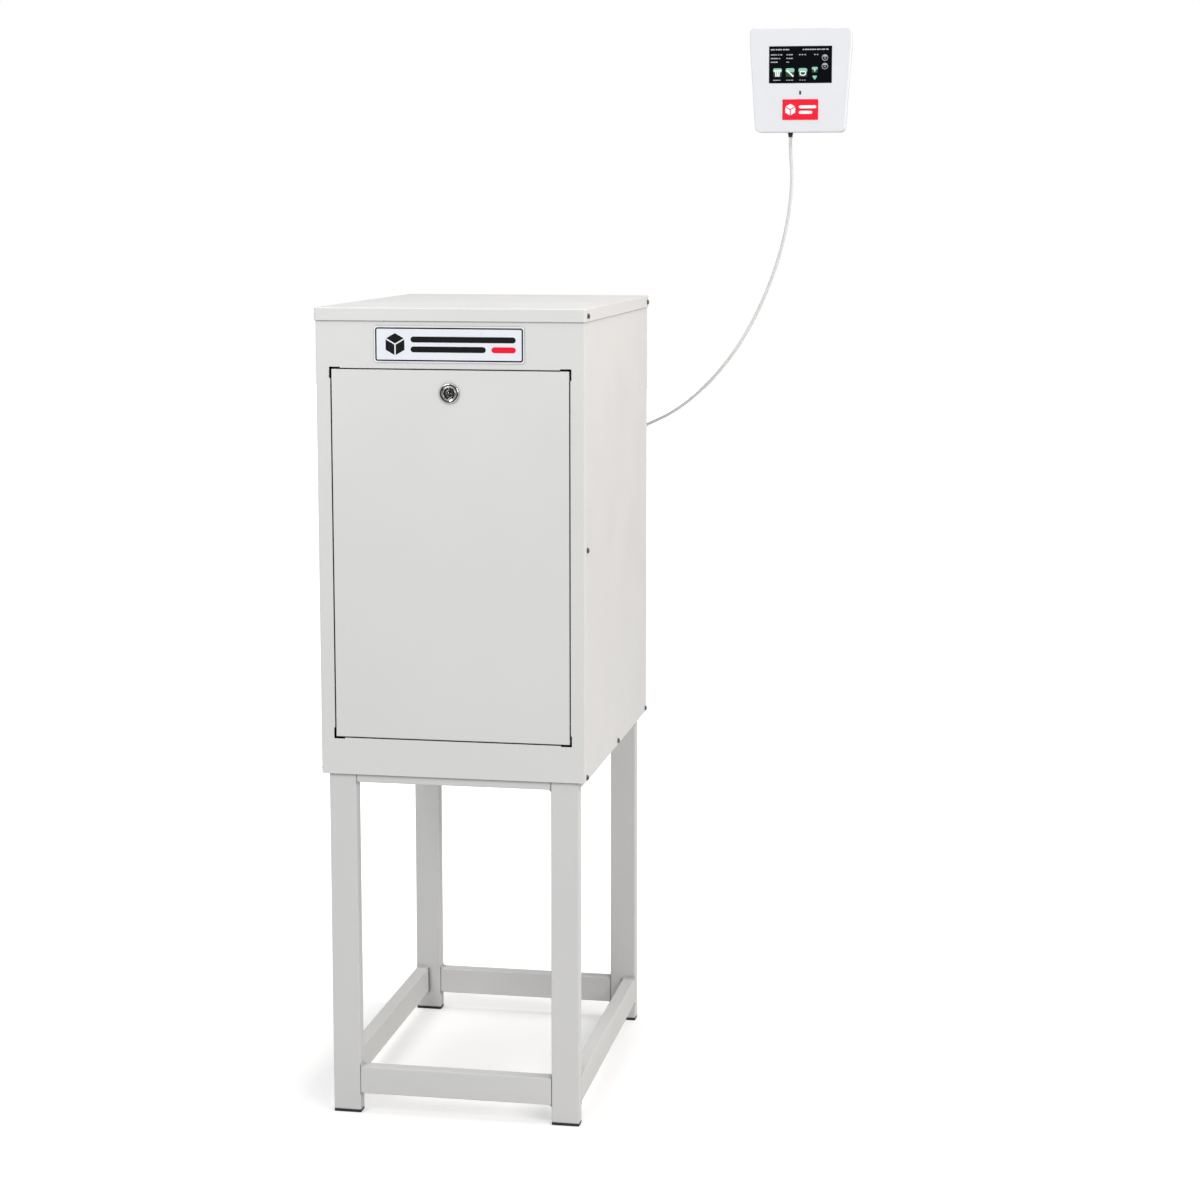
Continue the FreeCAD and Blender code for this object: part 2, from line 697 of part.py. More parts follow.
def make_hinge_pins():
    inner = DOOR_HALF - SHEET
    head = rod(PIN_HEAD_RADIUS, (inner - PIN_HEAD, HINGE_Y, HINGE_Z), (inner, HINGE_Y, HINGE_Z))
    shank = rod(PIN_RADIUS, (inner - PIN_HEAD, HINGE_Y, HINGE_Z), (JAMB + PIN_TAIL, HINGE_Y, HINGE_Z))
    pin = fused([head, shank])
    save("hinge_pins", [pin, mirrored(pin)])


def stay_rivet_places():
    """Two rivets through each stay and the door's edge."""
    return [stay_point(STAY_RADIUS + side * RIVET_SPACING / 2, RIVET_ANGLE) for side in (-1, 1)]


def ring_sector(inner, outer, start, end, x0, x1):
    """A flat ring sector round the hinge axis, between two angles, with its thickness along X."""
    arcs = []
    for radius in (outer, inner):
        points = [stay_point(radius, a) for a in (start, (start + end) / 2, end)]
        arcs.append([Vector(x0, y, z) for y, z in points])
    far, near = arcs
    edges = [
        Part.Arc(far[0], far[1], far[2]).toShape(),
        Part.LineSegment(far[2], near[2]).toShape(),
        Part.Arc(near[2], near[1], near[0]).toShape(),
        Part.LineSegment(near[0], far[0]).toShape(),
    ]
    return Part.Face(Part.Wire(edges)).extrude(X_AXIS * (x1 - x0))


def make_stays():
    """A slotted quarter ring on each side of the door; a headed stud on the frame runs in its slot."""
    x1 = DOOR_HALF - SHEET
    x0 = x1 - STAY_THICK
    arm_half = STAY_WIDTH / 2
    slot_half = STUD_RADIUS + STAY_GAP
    start = STUD_ANGLE - SLOT_SPARE_ANGLE
    end = STUD_ANGLE + DOOR_TRAVEL + SLOT_SPARE_ANGLE
    tip = end + math.degrees((slot_half + STAY_TIP) / STAY_RADIUS)
    arm = ring_sector(STAY_RADIUS - arm_half, STAY_RADIUS + arm_half, -STAY_HEEL_ANGLE, tip, x0, x1)
    near = x0 - OVER
    far = x1 + OVER
    tools = [ring_sector(STAY_RADIUS - slot_half, STAY_RADIUS + slot_half, start, end, near, far)]
    for angle in (start, end):
        y, z = stay_point(STAY_RADIUS, angle)
        tools.append(rod(slot_half, (near, y, z), (far, y, z)))
    for y, z in stay_rivet_places():
        tools.append(rod(RIVET_RADIUS, (near, y, z), (far, y, z)))
    stay = cut_all(arm, tools)
    save("door_stays", [stay, mirrored(stay)])
    rivets = []
    for y, z in stay_rivet_places():
        head = rod(RIVET_HEAD_RADIUS, (x0 - RIVET_HEAD, y, z), (x0, y, z))
        rivets.append(fused([head, rod(RIVET_RADIUS, (x0, y, z), (DOOR_HALF, y, z))]))
    save("stay_rivets", rivets + [mirrored(r) for r in rivets])
    y, z = stay_point(STAY_RADIUS, STUD_ANGLE)
    neck = x0 - STUD_NECK
    stud = fused([
        rod(STUD_HEAD_RADIUS, (neck - STUD_HEAD, y, z), (neck, y, z)),
        rod(STUD_RADIUS, (neck, y, z), (JAMB, y, z)),
        rod(STUD_FOOT_RADIUS, (JAMB, y, z), (JAMB + SHEET, y, z)),
    ])
    save("stay_studs", [stud, mirrored(stud)])


def make_closing_stops():
    """Brackets on the opening's top flange with rubber buffers that the closed door meets."""
    back = DOOR_BACK + BUFFER_GAP + BUFFER_LENGTH
    x0 = STOP_SPACING / 2 - STOP_WIDTH / 2
    x1 = x0 + STOP_WIDTH
    arm = block(x0, x1, FRONT + SHEET + BEHIND_FRONT, back + STOP_THICK, HEAD, HEAD + STOP_THICK)
    drop = block(x0, x1, back, back + STOP_THICK, HEAD - STOP_DROP, HEAD + STOP_THICK)
    bracket = fused([arm, drop])
    save("closing_stops", [bracket, mirrored(bracket)])
    x = STOP_SPACING / 2
    z = DOOR_TOP - BUFFER_RADIUS
    tip = DOOR_BACK + BUFFER_GAP
    buffer = rod(BUFFER_RADIUS, (x, tip, z), (x, back, z))
    buffer = buffer.makeFillet(BUFFER_EDGE, rim(buffer, Y_AXIS, tip))
    save("stop_buffers", [buffer, mirrored(buffer)])


def make_door_sensor():
    """A reed switch on the opening's top flange and the magnet under it on the door."""
    x0 = SENSOR_X - SENSOR_LENGTH / 2
    x1 = SENSOR_X + SENSOR_LENGTH / 2
    inside = FRONT + SHEET
    y0 = inside + BEHIND_FRONT
    sensor = block(x0, x1, y0, y0 + SENSOR_DEPTH, HEAD, HEAD + SENSOR_HEIGHT)
    save("door_sensor", rounded(sensor, SENSOR_CORNER, Z_AXIS))
    top = DOOR_TOP - SHEET
    magnet = block(x0, x1, inside, inside + MAGNET_DEPTH, top - MAGNET_HEIGHT, top)
    save("door_magnet", rounded(magnet, SENSOR_CORNER, X_AXIS, lambda c: c.y > inside + SAME))


# ---------------------------------------------------------------- lock

def make_lock():
    """A quarter-turn lock for a double-bit key; unlocked, its cam lies level and its key slot upright."""
    z = LOCK_Z
    front = FRONT - COLLAR_PROUD
    collar = rod(COLLAR_RADIUS, (0, front, z), (0, FRONT, z))
    collar = collar.makeChamfer(COLLAR_BEVEL, rim(collar, Y_AXIS, front))
    body = rod(HOUSING_RADIUS, (0, FRONT, z), (0, HOUSING_BACK, z))
    bore = rod(PLUG_RADIUS + PIN_CLEARANCE, (0, front - OVER, z), (0, HOUSING_BACK + OVER, z))
    save("lock_housing", fused([collar, body]).cut(bore))
    inside = FRONT + SHEET
    nut_back = inside + LOCK_NUT_THICK
    nut = hexagon(LOCK_NUT_FLATS, (0, inside, z), (0, nut_back, z))
    save("lock_nut", nut.cut(rod(HOUSING_RADIUS, (0, inside - OVER, z), (0, nut_back + OVER, z))))

    face = front + PLUG_SINK
    half = CAM_SQUARE / 2
    plug = rod(PLUG_RADIUS, (0, face, z), (0, CAM_FRONT, z))
    plug = plug.fuse(block(-half, half, CAM_FRONT - OVER, CAM_BACK, z - half, z + half))
    outside = face - OVER
    bottom = face + KEY_DEPTH
    ring = rod(KEY_RING_RADIUS, (0, outside, z), (0, bottom, z))
    ring = ring.cut(rod(KEY_PIN_RADIUS, (0, outside - OVER, z), (0, bottom + OVER, z)))
    notch = KEY_NOTCH_WIDTH / 2
    low = KEY_RING_RADIUS - KEY_NOTCH_LAP
    high = KEY_NOTCH_RADIUS
    upper = block(-notch, notch, outside, bottom, z + low, z + high)
    lower = block(-notch, notch, outside, bottom, z - high, z - low)
    screw_tip = CAM_BACK - CAM_SCREW_LENGTH
    bore = rod(CAM_SCREW_RADIUS, (0, screw_tip - CAM_BORE_SPARE, z), (0, CAM_BACK + OVER, z))
    save("lock_plug", cut_all(plug, [ring, upper, lower, bore]))

    reach = HEAD - LOCK_Z + CAM_OVERLAP
    width = CAM_WIDTH / 2
    cam = block(-width, reach, CAM_FRONT, CAM_BACK, z - width, z + width)
    cam = rounded(cam, CAM_CORNER, Y_AXIS)
    save("lock_cam", cam.cut(block(-half, half, CAM_FRONT - OVER, CAM_BACK + OVER, z - half, z + half)))
    head_back = CAM_BACK + CAM_SCREW_HEAD
    head = rod(CAM_SCREW_HEAD_RADIUS, (0, CAM_BACK, z), (0, head_back, z))
    shank = rod(CAM_SCREW_RADIUS, (0, screw_tip, z), (0, CAM_BACK, z))
    socket = hexagon(CAM_SCREW_HEX, (0, head_back - CAM_SCREW_SOCKET, z), (0, head_back + OVER, z))
    save("cam_screw", fused([head, shank]).cut(socket))


# ---------------------------------------------------------------- equipment inside

def make_equipment_plate():
    plate = block(EQUIPMENT_LEFT, EQUIPMENT_RIGHT, PLATE_FRONT, PLATE_BACK, EQUIPMENT_BOTTOM, EQUIPMENT_TOP)
    save("equipment_plate", rounded(plate, EQUIPMENT_CORNER, Y_AXIS))
    x0 = EQUIPMENT_LEFT + STANDOFF_INSET
    x1 = EQUIPMENT_RIGHT - STANDOFF_INSET
    heights = (EQUIPMENT_BOTTOM + STANDOFF_INSET, EQUIPMENT_TOP - STANDOFF_INSET)
    standoffs = [rod(STANDOFF_RADIUS, (x, PLATE_BACK, z), (x, BACK, z)) for x in (x0, x1) for z in heights]
    save("plate_standoffs", standoffs)
    half = RAIL_HEIGHT / 2
    web = half - RAIL_LIP
    back = PLATE_FRONT
    rail = fused([
        block(x0, x1, back - RAIL_THICK, back, RAIL_Z - web, RAIL_Z + web),
        block(x0, x1, RAIL_FRONT, back, RAIL_Z + web - RAIL_THICK, RAIL_Z + web),
        block(x0, x1, RAIL_FRONT, back, RAIL_Z - web, RAIL_Z - web + RAIL_THICK),
        block(x0, x1, RAIL_FRONT, RAIL_FRONT + RAIL_THICK, RAIL_Z + web - RAIL_THICK, RAIL_Z + half),
        block(x0, x1, RAIL_FRONT, RAIL_FRONT + RAIL_THICK, RAIL_Z - half, RAIL_Z - web + RAIL_THICK),
    ])
    save("din_rail", rail)


def module(x, width):
    """A rail-mounted case that starts at x, with rounded front edges."""
    low = RAIL_Z - MODULE_HEIGHT / 2
    case = block(x, x + width, MODULE_FRONT, RAIL_FRONT, low, low + MODULE_HEIGHT)
    return rounded(case, MODULE_CORNER, X_AXIS, lambda c: c.y < MODULE_FRONT + SAME)


def nose(x, width):
    """The stepped front of a rail-mounted case."""
    half = NOSE_HEIGHT / 2
    return block(x, x + width, MODULE_FRONT - NOSE_PROUD, MODULE_FRONT, RAIL_Z - half, RAIL_Z + half)


def case_with_nose(x, width):
    """A whole rail-mounted case."""
    return fused([module(x, width), nose(x, width)])


def make_breaker(x):
    """A circuit breaker whose toggle turns on a pin in its slotted front."""
    front = MODULE_FRONT - NOSE_PROUD
    middle = x + BREAKER_WIDTH / 2
    hub_y = front + TOGGLE_HUB_RADIUS + TOGGLE_HUB_SINK
    slot_half = TOGGLE_SLOT_WIDTH / 2
    slot_back = hub_y + TOGGLE_HUB_RADIUS + TOGGLE_SLOT_SPARE
    rise = TOGGLE_SLOT_HEIGHT / 2
    slot = block(middle - slot_half, middle + slot_half, front - OVER, slot_back,
                 RAIL_Z - rise, RAIL_Z + rise)
    pin_half = slot_half + TOGGLE_PIN_REACH
    hole_half = pin_half + TOGGLE_PIN_SPARE
    hole = rod(TOGGLE_PIN_RADIUS + PIN_CLEARANCE, (middle - hole_half, hub_y, RAIL_Z),
               (middle + hole_half, hub_y, RAIL_Z))
    save("circuit_breaker", cut_all(case_with_nose(x, BREAKER_WIDTH), [slot, hole]))

    half = TOGGLE_WIDTH / 2
    lever = block(middle - half, middle + half, hub_y - TOGGLE_REACH, hub_y,
                  RAIL_Z - TOGGLE_THICK / 2, RAIL_Z + TOGGLE_THICK / 2)
    lever = rounded(lever, TOGGLE_CORNER, X_AXIS, lambda c: c.y < hub_y - SAME)
    lever.rotate(Vector(middle, hub_y, RAIL_Z), X_AXIS, -TOGGLE_TILT)
    hub = rod(TOGGLE_HUB_RADIUS, (middle - half, hub_y, RAIL_Z), (middle + half, hub_y, RAIL_Z))
    pin = rod(TOGGLE_PIN_RADIUS, (middle - pin_half, hub_y, RAIL_Z), (middle + pin_half, hub_y, RAIL_Z))
    save("breaker_toggle", fused([hub, lever, pin]))
    print(f"breaker hub at x {middle:.2f}, y {hub_y:.2f}, z {RAIL_Z:.2f}")


def make_terminals(x):
    """A row of narrow terminal clips that starts at x."""
    front = RAIL_FRONT - TERMINAL_DEPTH
    half = TERMINAL_HEIGHT / 2
    clips = []
    for i in range(TERMINAL_COUNT):
        left = x + i * TERMINAL_WIDTH
        clip = block(left, left + TERMINAL_WIDTH, front, RAIL_FRONT, RAIL_Z - half, RAIL_Z + half)
        edges = edges_along(clip, X_AXIS, lambda c: c.y < front + SAME)
        clips.append(clip.makeChamfer(TERMINAL_BEVEL, edges))
    save("terminal_row", clips)


def make_modules():
    """From left to right on the rail: power supply, breaker, controller and terminals."""
    x = EQUIPMENT_LEFT + STANDOFF_INSET + MODULE_SPACE
    save("power_supply", case_with_nose(x, SUPPLY_WIDTH))
    x += SUPPLY_WIDTH + MODULE_SPACE
    make_breaker(x)
    x += BREAKER_WIDTH + MODULE_SPACE
    save("controller", case_with_nose(x, CONTROLLER_WIDTH))
    x += CONTROLLER_WIDTH + MODULE_SPACE
    make_terminals(x)


def make_rear_entries():
    """The gland of the wall panel's cable and the closed plug of the mains entry."""
    x, z = GLAND_X, GLAND_Z
    flange_back = REAR_FACE + GLAND_FLANGE
    body_back = flange_back + GLAND_BODY
    tip = body_back + GLAND_NOSE
    gland = fused([
        rod(GLAND_THREAD_RADIUS, (x, BACK - GLAND_INSIDE, z), (x, REAR_FACE, z)),
        hexagon(GLAND_FLATS, (x, REAR_FACE, z), (x, flange_back, z)),
        rod(GLAND_BODY_RADIUS, (x, flange_back, z), (x, body_back, z)),
        taper(GLAND_BODY_RADIUS, CABLE_RADIUS + GLAND_LIP, (x, body_back, z), (x, tip, z)),
    ])
    save("cable_gland", gland)
    nut_front = BACK - GLAND_NUT_THICK
    nut = hexagon(GLAND_FLATS, (x, nut_front, z), (x, BACK, z))
    save("gland_nut", nut.cut(rod(GLAND_THREAD_RADIUS, (x, nut_front - OVER, z), (x, BACK + OVER, z))))

    entry_x, entry_z = ENTRY_X, ENTRY_Z
    outside = REAR_FACE + ENTRY_FLANGE
    flange = rod(ENTRY_FLANGE_RADIUS, (entry_x, REAR_FACE, entry_z), (entry_x, outside, entry_z))
    flange = flange.makeFillet(ENTRY_EDGE, rim(flange, Y_AXIS, outside))
    neck = rod(ENTRY_RADIUS, (entry_x, BACK, entry_z), (entry_x, REAR_FACE, entry_z))
    lip_front = BACK - ENTRY_FLANGE
    lip = rod(ENTRY_RADIUS + ENTRY_LIP, (entry_x, lip_front, entry_z), (entry_x, BACK, entry_z))
    save("entry_plug", fused([flange, neck, lip]))
    return Vector(x, tip, z)


# ---------------------------------------------------------------- wall panel

def panel_outline(inset, y):
    """The wall panel's outline: level top and bottom, sides that lean in below the shoulders."""
    top = PANEL_TOP_WIDTH / 2 - inset
    shoulder = top - PANEL_SHOULDER_LEAN
    foot = PANEL_BOTTOM_WIDTH / 2 - inset
    low = PANEL_BOTTOM + inset
    high = PANEL_BOTTOM + PANEL_HEIGHT - inset
    turn = high - PANEL_SHOULDER + inset
    corners = [(-foot, low), (foot, low), (shoulder, turn), (top, high), (-top, high), (-shoulder, turn)]
    points = [Vector(PANEL_X + x, y, z) for x, z in corners]
    return Part.Face(Part.makePolygon(points + points[:1]))


def panel_prism(inset, y0, y1, corner):
    """A prism of the wall panel's outline with rounded corners."""
    prism = panel_outline(inset, y0).extrude(Y_AXIS * (y1 - y0))
    low = PANEL_BOTTOM + inset + SAME
    high = PANEL_BOTTOM + PANEL_HEIGHT - inset - SAME
    return rounded(prism, corner, Y_AXIS, lambda c: c.z < low or c.z > high)


def panel_window(x, width, low, height, y0, y1):
    """A block in the wall panel's own places: x from its centre line, height from its bottom edge."""
    left = PANEL_X + x - width / 2
    bottom = PANEL_BOTTOM + low
    return block(left, left + width, y0, y1, bottom, bottom + height)


def make_panel_cover():
    """The wall panel's front shell with its screen window, indicator and cable hole."""
    front = PANEL_FRONT
    cover = panel_prism(0, front, WALL - BASE_THICK, PANEL_CORNER)
    cover = cover.makeFillet(PANEL_EDGE, rim(cover, Y_AXIS, front))
    hollow = panel_prism(PANEL_WALL, front + PANEL_WALL, WALL, PANEL_CORNER - PANEL_WALL)
    gap = SCREEN_CLEARANCE
    window = panel_window(0, SCREEN_WIDTH + 2 * gap, SCREEN_BOTTOM - gap, SCREEN_HEIGHT + 2 * gap,
                          front - OVER, WALL)
    pill = panel_window(0, INDICATOR_WIDTH, INDICATOR_UP - INDICATOR_HEIGHT / 2, INDICATOR_HEIGHT,
                        front, front + INDICATOR_DEPTH)
    pill = rounded(pill, INDICATOR_CORNER, Y_AXIS)
    pill_hole = pill.copy()
    pill_hole.translate(Y_AXIS * -OVER)
    relief_hole = rod(RELIEF_TIP_RADIUS, (RELIEF_X, RELIEF_Y, PANEL_BOTTOM - OVER),
                      (RELIEF_X, RELIEF_Y, PANEL_BOTTOM + PANEL_WALL + OVER))
    save("panel_cover", cut_all(cover, [hollow, window, pill, pill_hole, relief_hole]))
    save("indicator_light", pill)


def board_boss_places(board_low):
    """The four corners where the board stands on the base."""
    x = BOARD_WIDTH / 2 - BOSS_INSET
    heights = (board_low + BOSS_INSET, board_low + BOARD_HEIGHT - BOSS_INSET)
    return [(PANEL_X + side * x, PANEL_BOTTOM + height) for side in (-1, 1) for height in heights]


def wall_hole_places():
    """The four holes of the base for screws into the wall."""
    middle = PANEL_BOTTOM + PANEL_HEIGHT / 2
    sides = [(sx, sz) for sx in (-1, 1) for sz in (-1, 1)]
    return [(PANEL_X + sx * WALL_HOLE_X / 2, middle + sz * WALL_HOLE_Z / 2) for sx, sz in sides]


def make_panel_inside():
    """The wall panel's base, board, display, glass and label."""
    glass_back = PANEL_FRONT + PANEL_WALL
    display_back = glass_back + DISPLAY_THICK
    board_back = display_back + BOARD_THICK
    board_low = SCREEN_BOTTOM + SCREEN_HEIGHT / 2 - BOARD_HEIGHT / 2
    base_front = WALL - BASE_THICK
    lip_front = base_front - BASE_THICK
    lip_inset = PANEL_WALL + BASE_CLEARANCE
    base_parts = [
        panel_prism(0, base_front, WALL, PANEL_CORNER),
        panel_prism(lip_inset, lip_front, base_front, PANEL_CORNER - lip_inset),
    ]
    for x, z in board_boss_places(board_low):
        base_parts.append(rod(BOSS_RADIUS, (x, board_back, z), (x, base_front, z)))
    holes = [rod(WALL_HOLE, (x, lip_front - OVER, z), (x, WALL + OVER, z)) for x, z in wall_hole_places()]
    save("panel_base", cut_all(fused(base_parts), holes))
    save("panel_board", panel_window(0, BOARD_WIDTH, board_low, BOARD_HEIGHT, display_back, board_back))
    edge = DISPLAY_BORDER
    save("display_module", panel_window(0, SCREEN_WIDTH + 2 * edge, SCREEN_BOTTOM - edge,
                                        SCREEN_HEIGHT + 2 * edge, glass_back, display_back))
    save("touch_glass", panel_window(0, SCREEN_WIDTH, SCREEN_BOTTOM, SCREEN_HEIGHT,
                                     PANEL_FRONT + GLASS_SINK, glass_back))
    save("panel_label", panel_window(LABEL_X, LABEL_WIDTH, LABEL_BOTTOM, LABEL_HEIGHT,
                                     PANEL_FRONT - LABEL_THICK, PANEL_FRONT))


def make_cable_relief():
    """The tapered sleeve where the cable enters the wall panel from below; gives the point of its tip."""
    low = Vector(RELIEF_X, RELIEF_Y, PANEL_BOTTOM - RELIEF_LENGTH)
    base = Vector(RELIEF_X, RELIEF_Y, PANEL_BOTTOM)
    inner_end = base + Z_AXIS * (PANEL_WALL + RELIEF_INSIDE)
    cone = taper(RELIEF_TIP_RADIUS, RELIEF_RADIUS, low, base)
    neck = rod(RELIEF_TIP_RADIUS, base, inner_end)
    save("cable_relief", fused([cone, neck]))
    return low


# ---------------------------------------------------------------- cable

def cord_path(points):
    """Straight runs joined by tangent arcs, each as large as its two runs allow."""
    edges = []
    start = points[0]
    radii = []
    for i in range(1, len(points) - 1):
        here = points[i]
        back = points[i - 1] - here
        ahead = points[i + 1] - here
        turn = math.pi - back.getAngle(ahead)
        reach = ARC_SHARE * min(back.Length, ahead.Length)
        radii.append(reach / math.tan(turn / 2))
        into = here + back * (reach / back.Length)
        out = here + ahead * (reach / ahead.Length)
        toward = (into + out) * 0.5 - here
        centre_out = radii[-1] / math.cos(turn / 2)
        middle = here + toward * ((centre_out - radii[-1]) / toward.Length)
        edges.append(Part.LineSegment(start, into).toShape())
        edges.append(Part.Arc(into, middle, out).toShape())
        start = out
    edges.append(Part.LineSegment(start, points[-1]).toShape())
    return Part.Wire(edges), radii


def make_cable(gland_end, relief_end):
    """The cable leaves the gland towards the wall, turns along it and rises to the wall panel."""
    lead_out = [gland_end, gland_end + Y_AXIS * CABLE_OUT, gland_end + Vector(*CABLE_TURN)]
    lead_in = [relief_end - Z_AXIS * CABLE_RISE, relief_end]
    points = lead_out + [Vector(*p) for p in CABLE_ROUTE] + lead_in
    path, radii = cord_path(points)
    section = Part.Wire(Part.makeCircle(CABLE_RADIUS, points[0], points[1] - points[0]))
    cable = path.makePipeShell([section], True, False)
    runs = [(b - a).Length for a, b in zip(points, points[1:])]
    print("cable runs", [round(r, 1) for r in runs])
    print("cable radii", [round(r, 1) for r in radii])
    expected = math.pi * CABLE_RADIUS ** 2 * path.Length
    print(f"cable length {path.Length:.1f}, volume {cable.Volume:.1f} against {expected:.1f}")
    print("cable points", [tuple(round(c, 2) for c in p) for p in points])
    save("panel_cable", cable)


def main():
    os.makedirs("parts", exist_ok=True)
    make_stand()
    make_screws()
    make_body_shell()
    make_floor_tray()
    make_lid()
    make_rear_panel()
    make_door_posts()
    make_label_plate()
    make_door()
    make_hinge_pins()
    make_stays()
    make_closing_stops()
    make_door_sensor()
    make_lock()
    make_equipment_plate()
    make_modules()
    gland_end = make_rear_entries()
    make_panel_cover()
    make_panel_inside()
    relief_end = make_cable_relief()
    make_cable(gland_end, relief_end)


main()
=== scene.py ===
# %% [markdown]
# # A parcel locker on a tubular stand
# The real object is a cabinet folded from white powder-coated sheet steel. A flap with a
# quarter-turn lock opens at the front, a welded stand carries it, and a small touch panel on
# the wall behind it is fed by one grey cable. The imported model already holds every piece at
# its true size, so this lesson never moves or resizes them. It softens their edges, gives
# each finish its grain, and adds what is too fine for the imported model: the lock's turned
# collar, the printed plate, the picture on the screen, the ribbed sleeves of the cable.

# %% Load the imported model
import math

import bmesh
import bpy
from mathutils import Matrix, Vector


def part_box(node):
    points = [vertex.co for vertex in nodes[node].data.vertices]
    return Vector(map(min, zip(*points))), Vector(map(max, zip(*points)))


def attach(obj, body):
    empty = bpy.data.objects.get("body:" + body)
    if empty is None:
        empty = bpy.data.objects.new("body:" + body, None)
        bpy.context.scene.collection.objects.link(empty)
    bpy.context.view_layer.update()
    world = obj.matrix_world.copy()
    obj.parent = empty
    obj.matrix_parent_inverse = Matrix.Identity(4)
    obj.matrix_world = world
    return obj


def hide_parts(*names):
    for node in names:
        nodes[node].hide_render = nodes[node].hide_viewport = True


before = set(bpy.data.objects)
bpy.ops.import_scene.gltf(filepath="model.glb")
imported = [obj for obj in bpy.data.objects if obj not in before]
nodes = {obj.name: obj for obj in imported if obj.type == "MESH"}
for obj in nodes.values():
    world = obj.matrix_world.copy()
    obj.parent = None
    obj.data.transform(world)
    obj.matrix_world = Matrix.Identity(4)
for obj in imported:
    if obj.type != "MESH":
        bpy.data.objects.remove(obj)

scene = bpy.context.scene
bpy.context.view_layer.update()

# %% [markdown]
# ## The camera
# A product picture of a thing this tall is taken from a few metres away with a long lens, so
# that upright edges stay nearly parallel. The camera stands a little to the right of the
# locker, above its lid, and looks slightly down: the front, the right side and the lid's top
# all show. A Blender camera looks along its own -Z, so 90 degrees about X makes it look
# level, and the tilt is added to that. A small shift of the film keeps the frame on the
# object without turning the camera further.

# %% Place the camera
MM = 0.001
CAMERA_PLACE = Vector((0.827, -3.641, 1.300))
CAMERA_TURN = 10.31
CAMERA_TILT = -7.85
CAMERA_LENS = 76.0
CAMERA_SHIFT = -0.04

camera_data = bpy.data.cameras.new("product_camera")
camera_data.lens = CAMERA_LENS
camera_data.shift_y = CAMERA_SHIFT
camera = bpy.data.objects.new("product_camera", camera_data)
camera.location = CAMERA_PLACE
camera.rotation_euler = (math.radians(90 + CAMERA_TILT), 0, math.radians(CAMERA_TURN))
scene.collection.objects.link(camera)
scene.camera = camera
print("camera", round(CAMERA_PLACE.length, 2), "m from the middle of the stand")

# %% [markdown]
# ## How a finish is built
# Every finish here starts as one Principled shader. What is the same all over, such as the
# sheen or the index of refraction, is set on the shader itself. What varies comes from noise
# that is read in the object's own coordinates, in metres, so a scale of 1000 is a grain of
# about a millimetre. Four small helpers cover most finishes: one mottles the colour, one
# varies the roughness, one raises the grain as a bump, and one paints shade into seams,
# darkening the colour where light hardly reaches.

# %% Helpers for finishes
def new_finish(name, colour, roughness, metallic=0.0):
    """A material whose Principled shader has one colour; the helpers below add its grain."""
    finish = bpy.data.materials.new(name)
    finish.use_nodes = True
    shader = finish.node_tree.nodes["Principled BSDF"]
    shader.inputs["Base Color"].default_value = (*colour, 1.0)
    shader.inputs["Roughness"].default_value = roughness
    shader.inputs["Metallic"].default_value = metallic
    return finish


def shader_of(finish):
    """The Principled shader of a finish."""
    return finish.node_tree.nodes["Principled BSDF"]


PATCH_DETAIL = 3.0
GRAIN_DETAIL = 2.0
NOISE_LOW = 0.3
NOISE_HIGH = 0.7


def noise_in(finish, scale, detail, stretch=(1.0, 1.0, 1.0)):
    """Noise in the object's own coordinates; stretch packs it along one axis for brushed metal."""
    tree = finish.node_tree
    place = tree.nodes.new("ShaderNodeTexCoord")
    mapping = tree.nodes.new("ShaderNodeMapping")
    mapping.inputs["Scale"].default_value = stretch
    noise = tree.nodes.new("ShaderNodeTexNoise")
    noise.inputs["Scale"].default_value = scale
    noise.inputs["Detail"].default_value = detail
    tree.links.new(place.outputs["Object"], mapping.inputs["Vector"])
    tree.links.new(mapping.outputs["Vector"], noise.inputs["Vector"])
    return noise


def mottle(finish, scale, share):
    """Let the colour drift by a share either way, in patches of the given scale."""
    tree = finish.node_tree
    shader = shader_of(finish)
    colour = shader.inputs["Base Color"].default_value[:3]
    ramp = tree.nodes.new("ShaderNodeValToRGB")
    ramp.color_ramp.elements[0].position = NOISE_LOW
    ramp.color_ramp.elements[0].color = (*[c * (1 - share) for c in colour], 1.0)
    ramp.color_ramp.elements[1].position = NOISE_HIGH
    ramp.color_ramp.elements[1].color = (*[min(1.0, c * (1 + share)) for c in colour], 1.0)
    noise = noise_in(finish, scale, PATCH_DETAIL)
    tree.links.new(noise.outputs["Fac"], ramp.inputs["Fac"])
    tree.links.new(ramp.outputs["Color"], shader.inputs["Base Color"])


def vary_roughness(finish, scale, low, high, stretch=(1.0, 1.0, 1.0)):
    """Let the roughness drift between two values, where use has polished or dulled it."""
    tree = finish.node_tree
    spread = tree.nodes.new("ShaderNodeMapRange")
    spread.inputs["From Min"].default_value = NOISE_LOW
    spread.inputs["From Max"].default_value = NOISE_HIGH
    spread.inputs["To Min"].default_value = low
    spread.inputs["To Max"].default_value = high
    noise = noise_in(finish, scale, PATCH_DETAIL, stretch)
    tree.links.new(noise.outputs["Fac"], spread.inputs["Value"])
    tree.links.new(spread.outputs["Result"], shader_of(finish).inputs["Roughness"])


def raise_grain(finish, scale, depth, strength=0.5):
    """Bump the surface with noise; depth is in metres, and later calls add to earlier ones."""
    tree = finish.node_tree
    bump = tree.nodes.new("ShaderNodeBump")
    bump.inputs["Strength"].default_value = strength
    bump.inputs["Distance"].default_value = depth
    noise = noise_in(finish, scale, GRAIN_DETAIL)
    tree.links.new(noise.outputs["Fac"], bump.inputs["Height"])
    normal = shader_of(finish).inputs["Normal"]
    if normal.is_linked:
        tree.links.new(normal.links[0].from_socket, bump.inputs["Normal"])
    tree.links.new(bump.outputs["Normal"], normal)


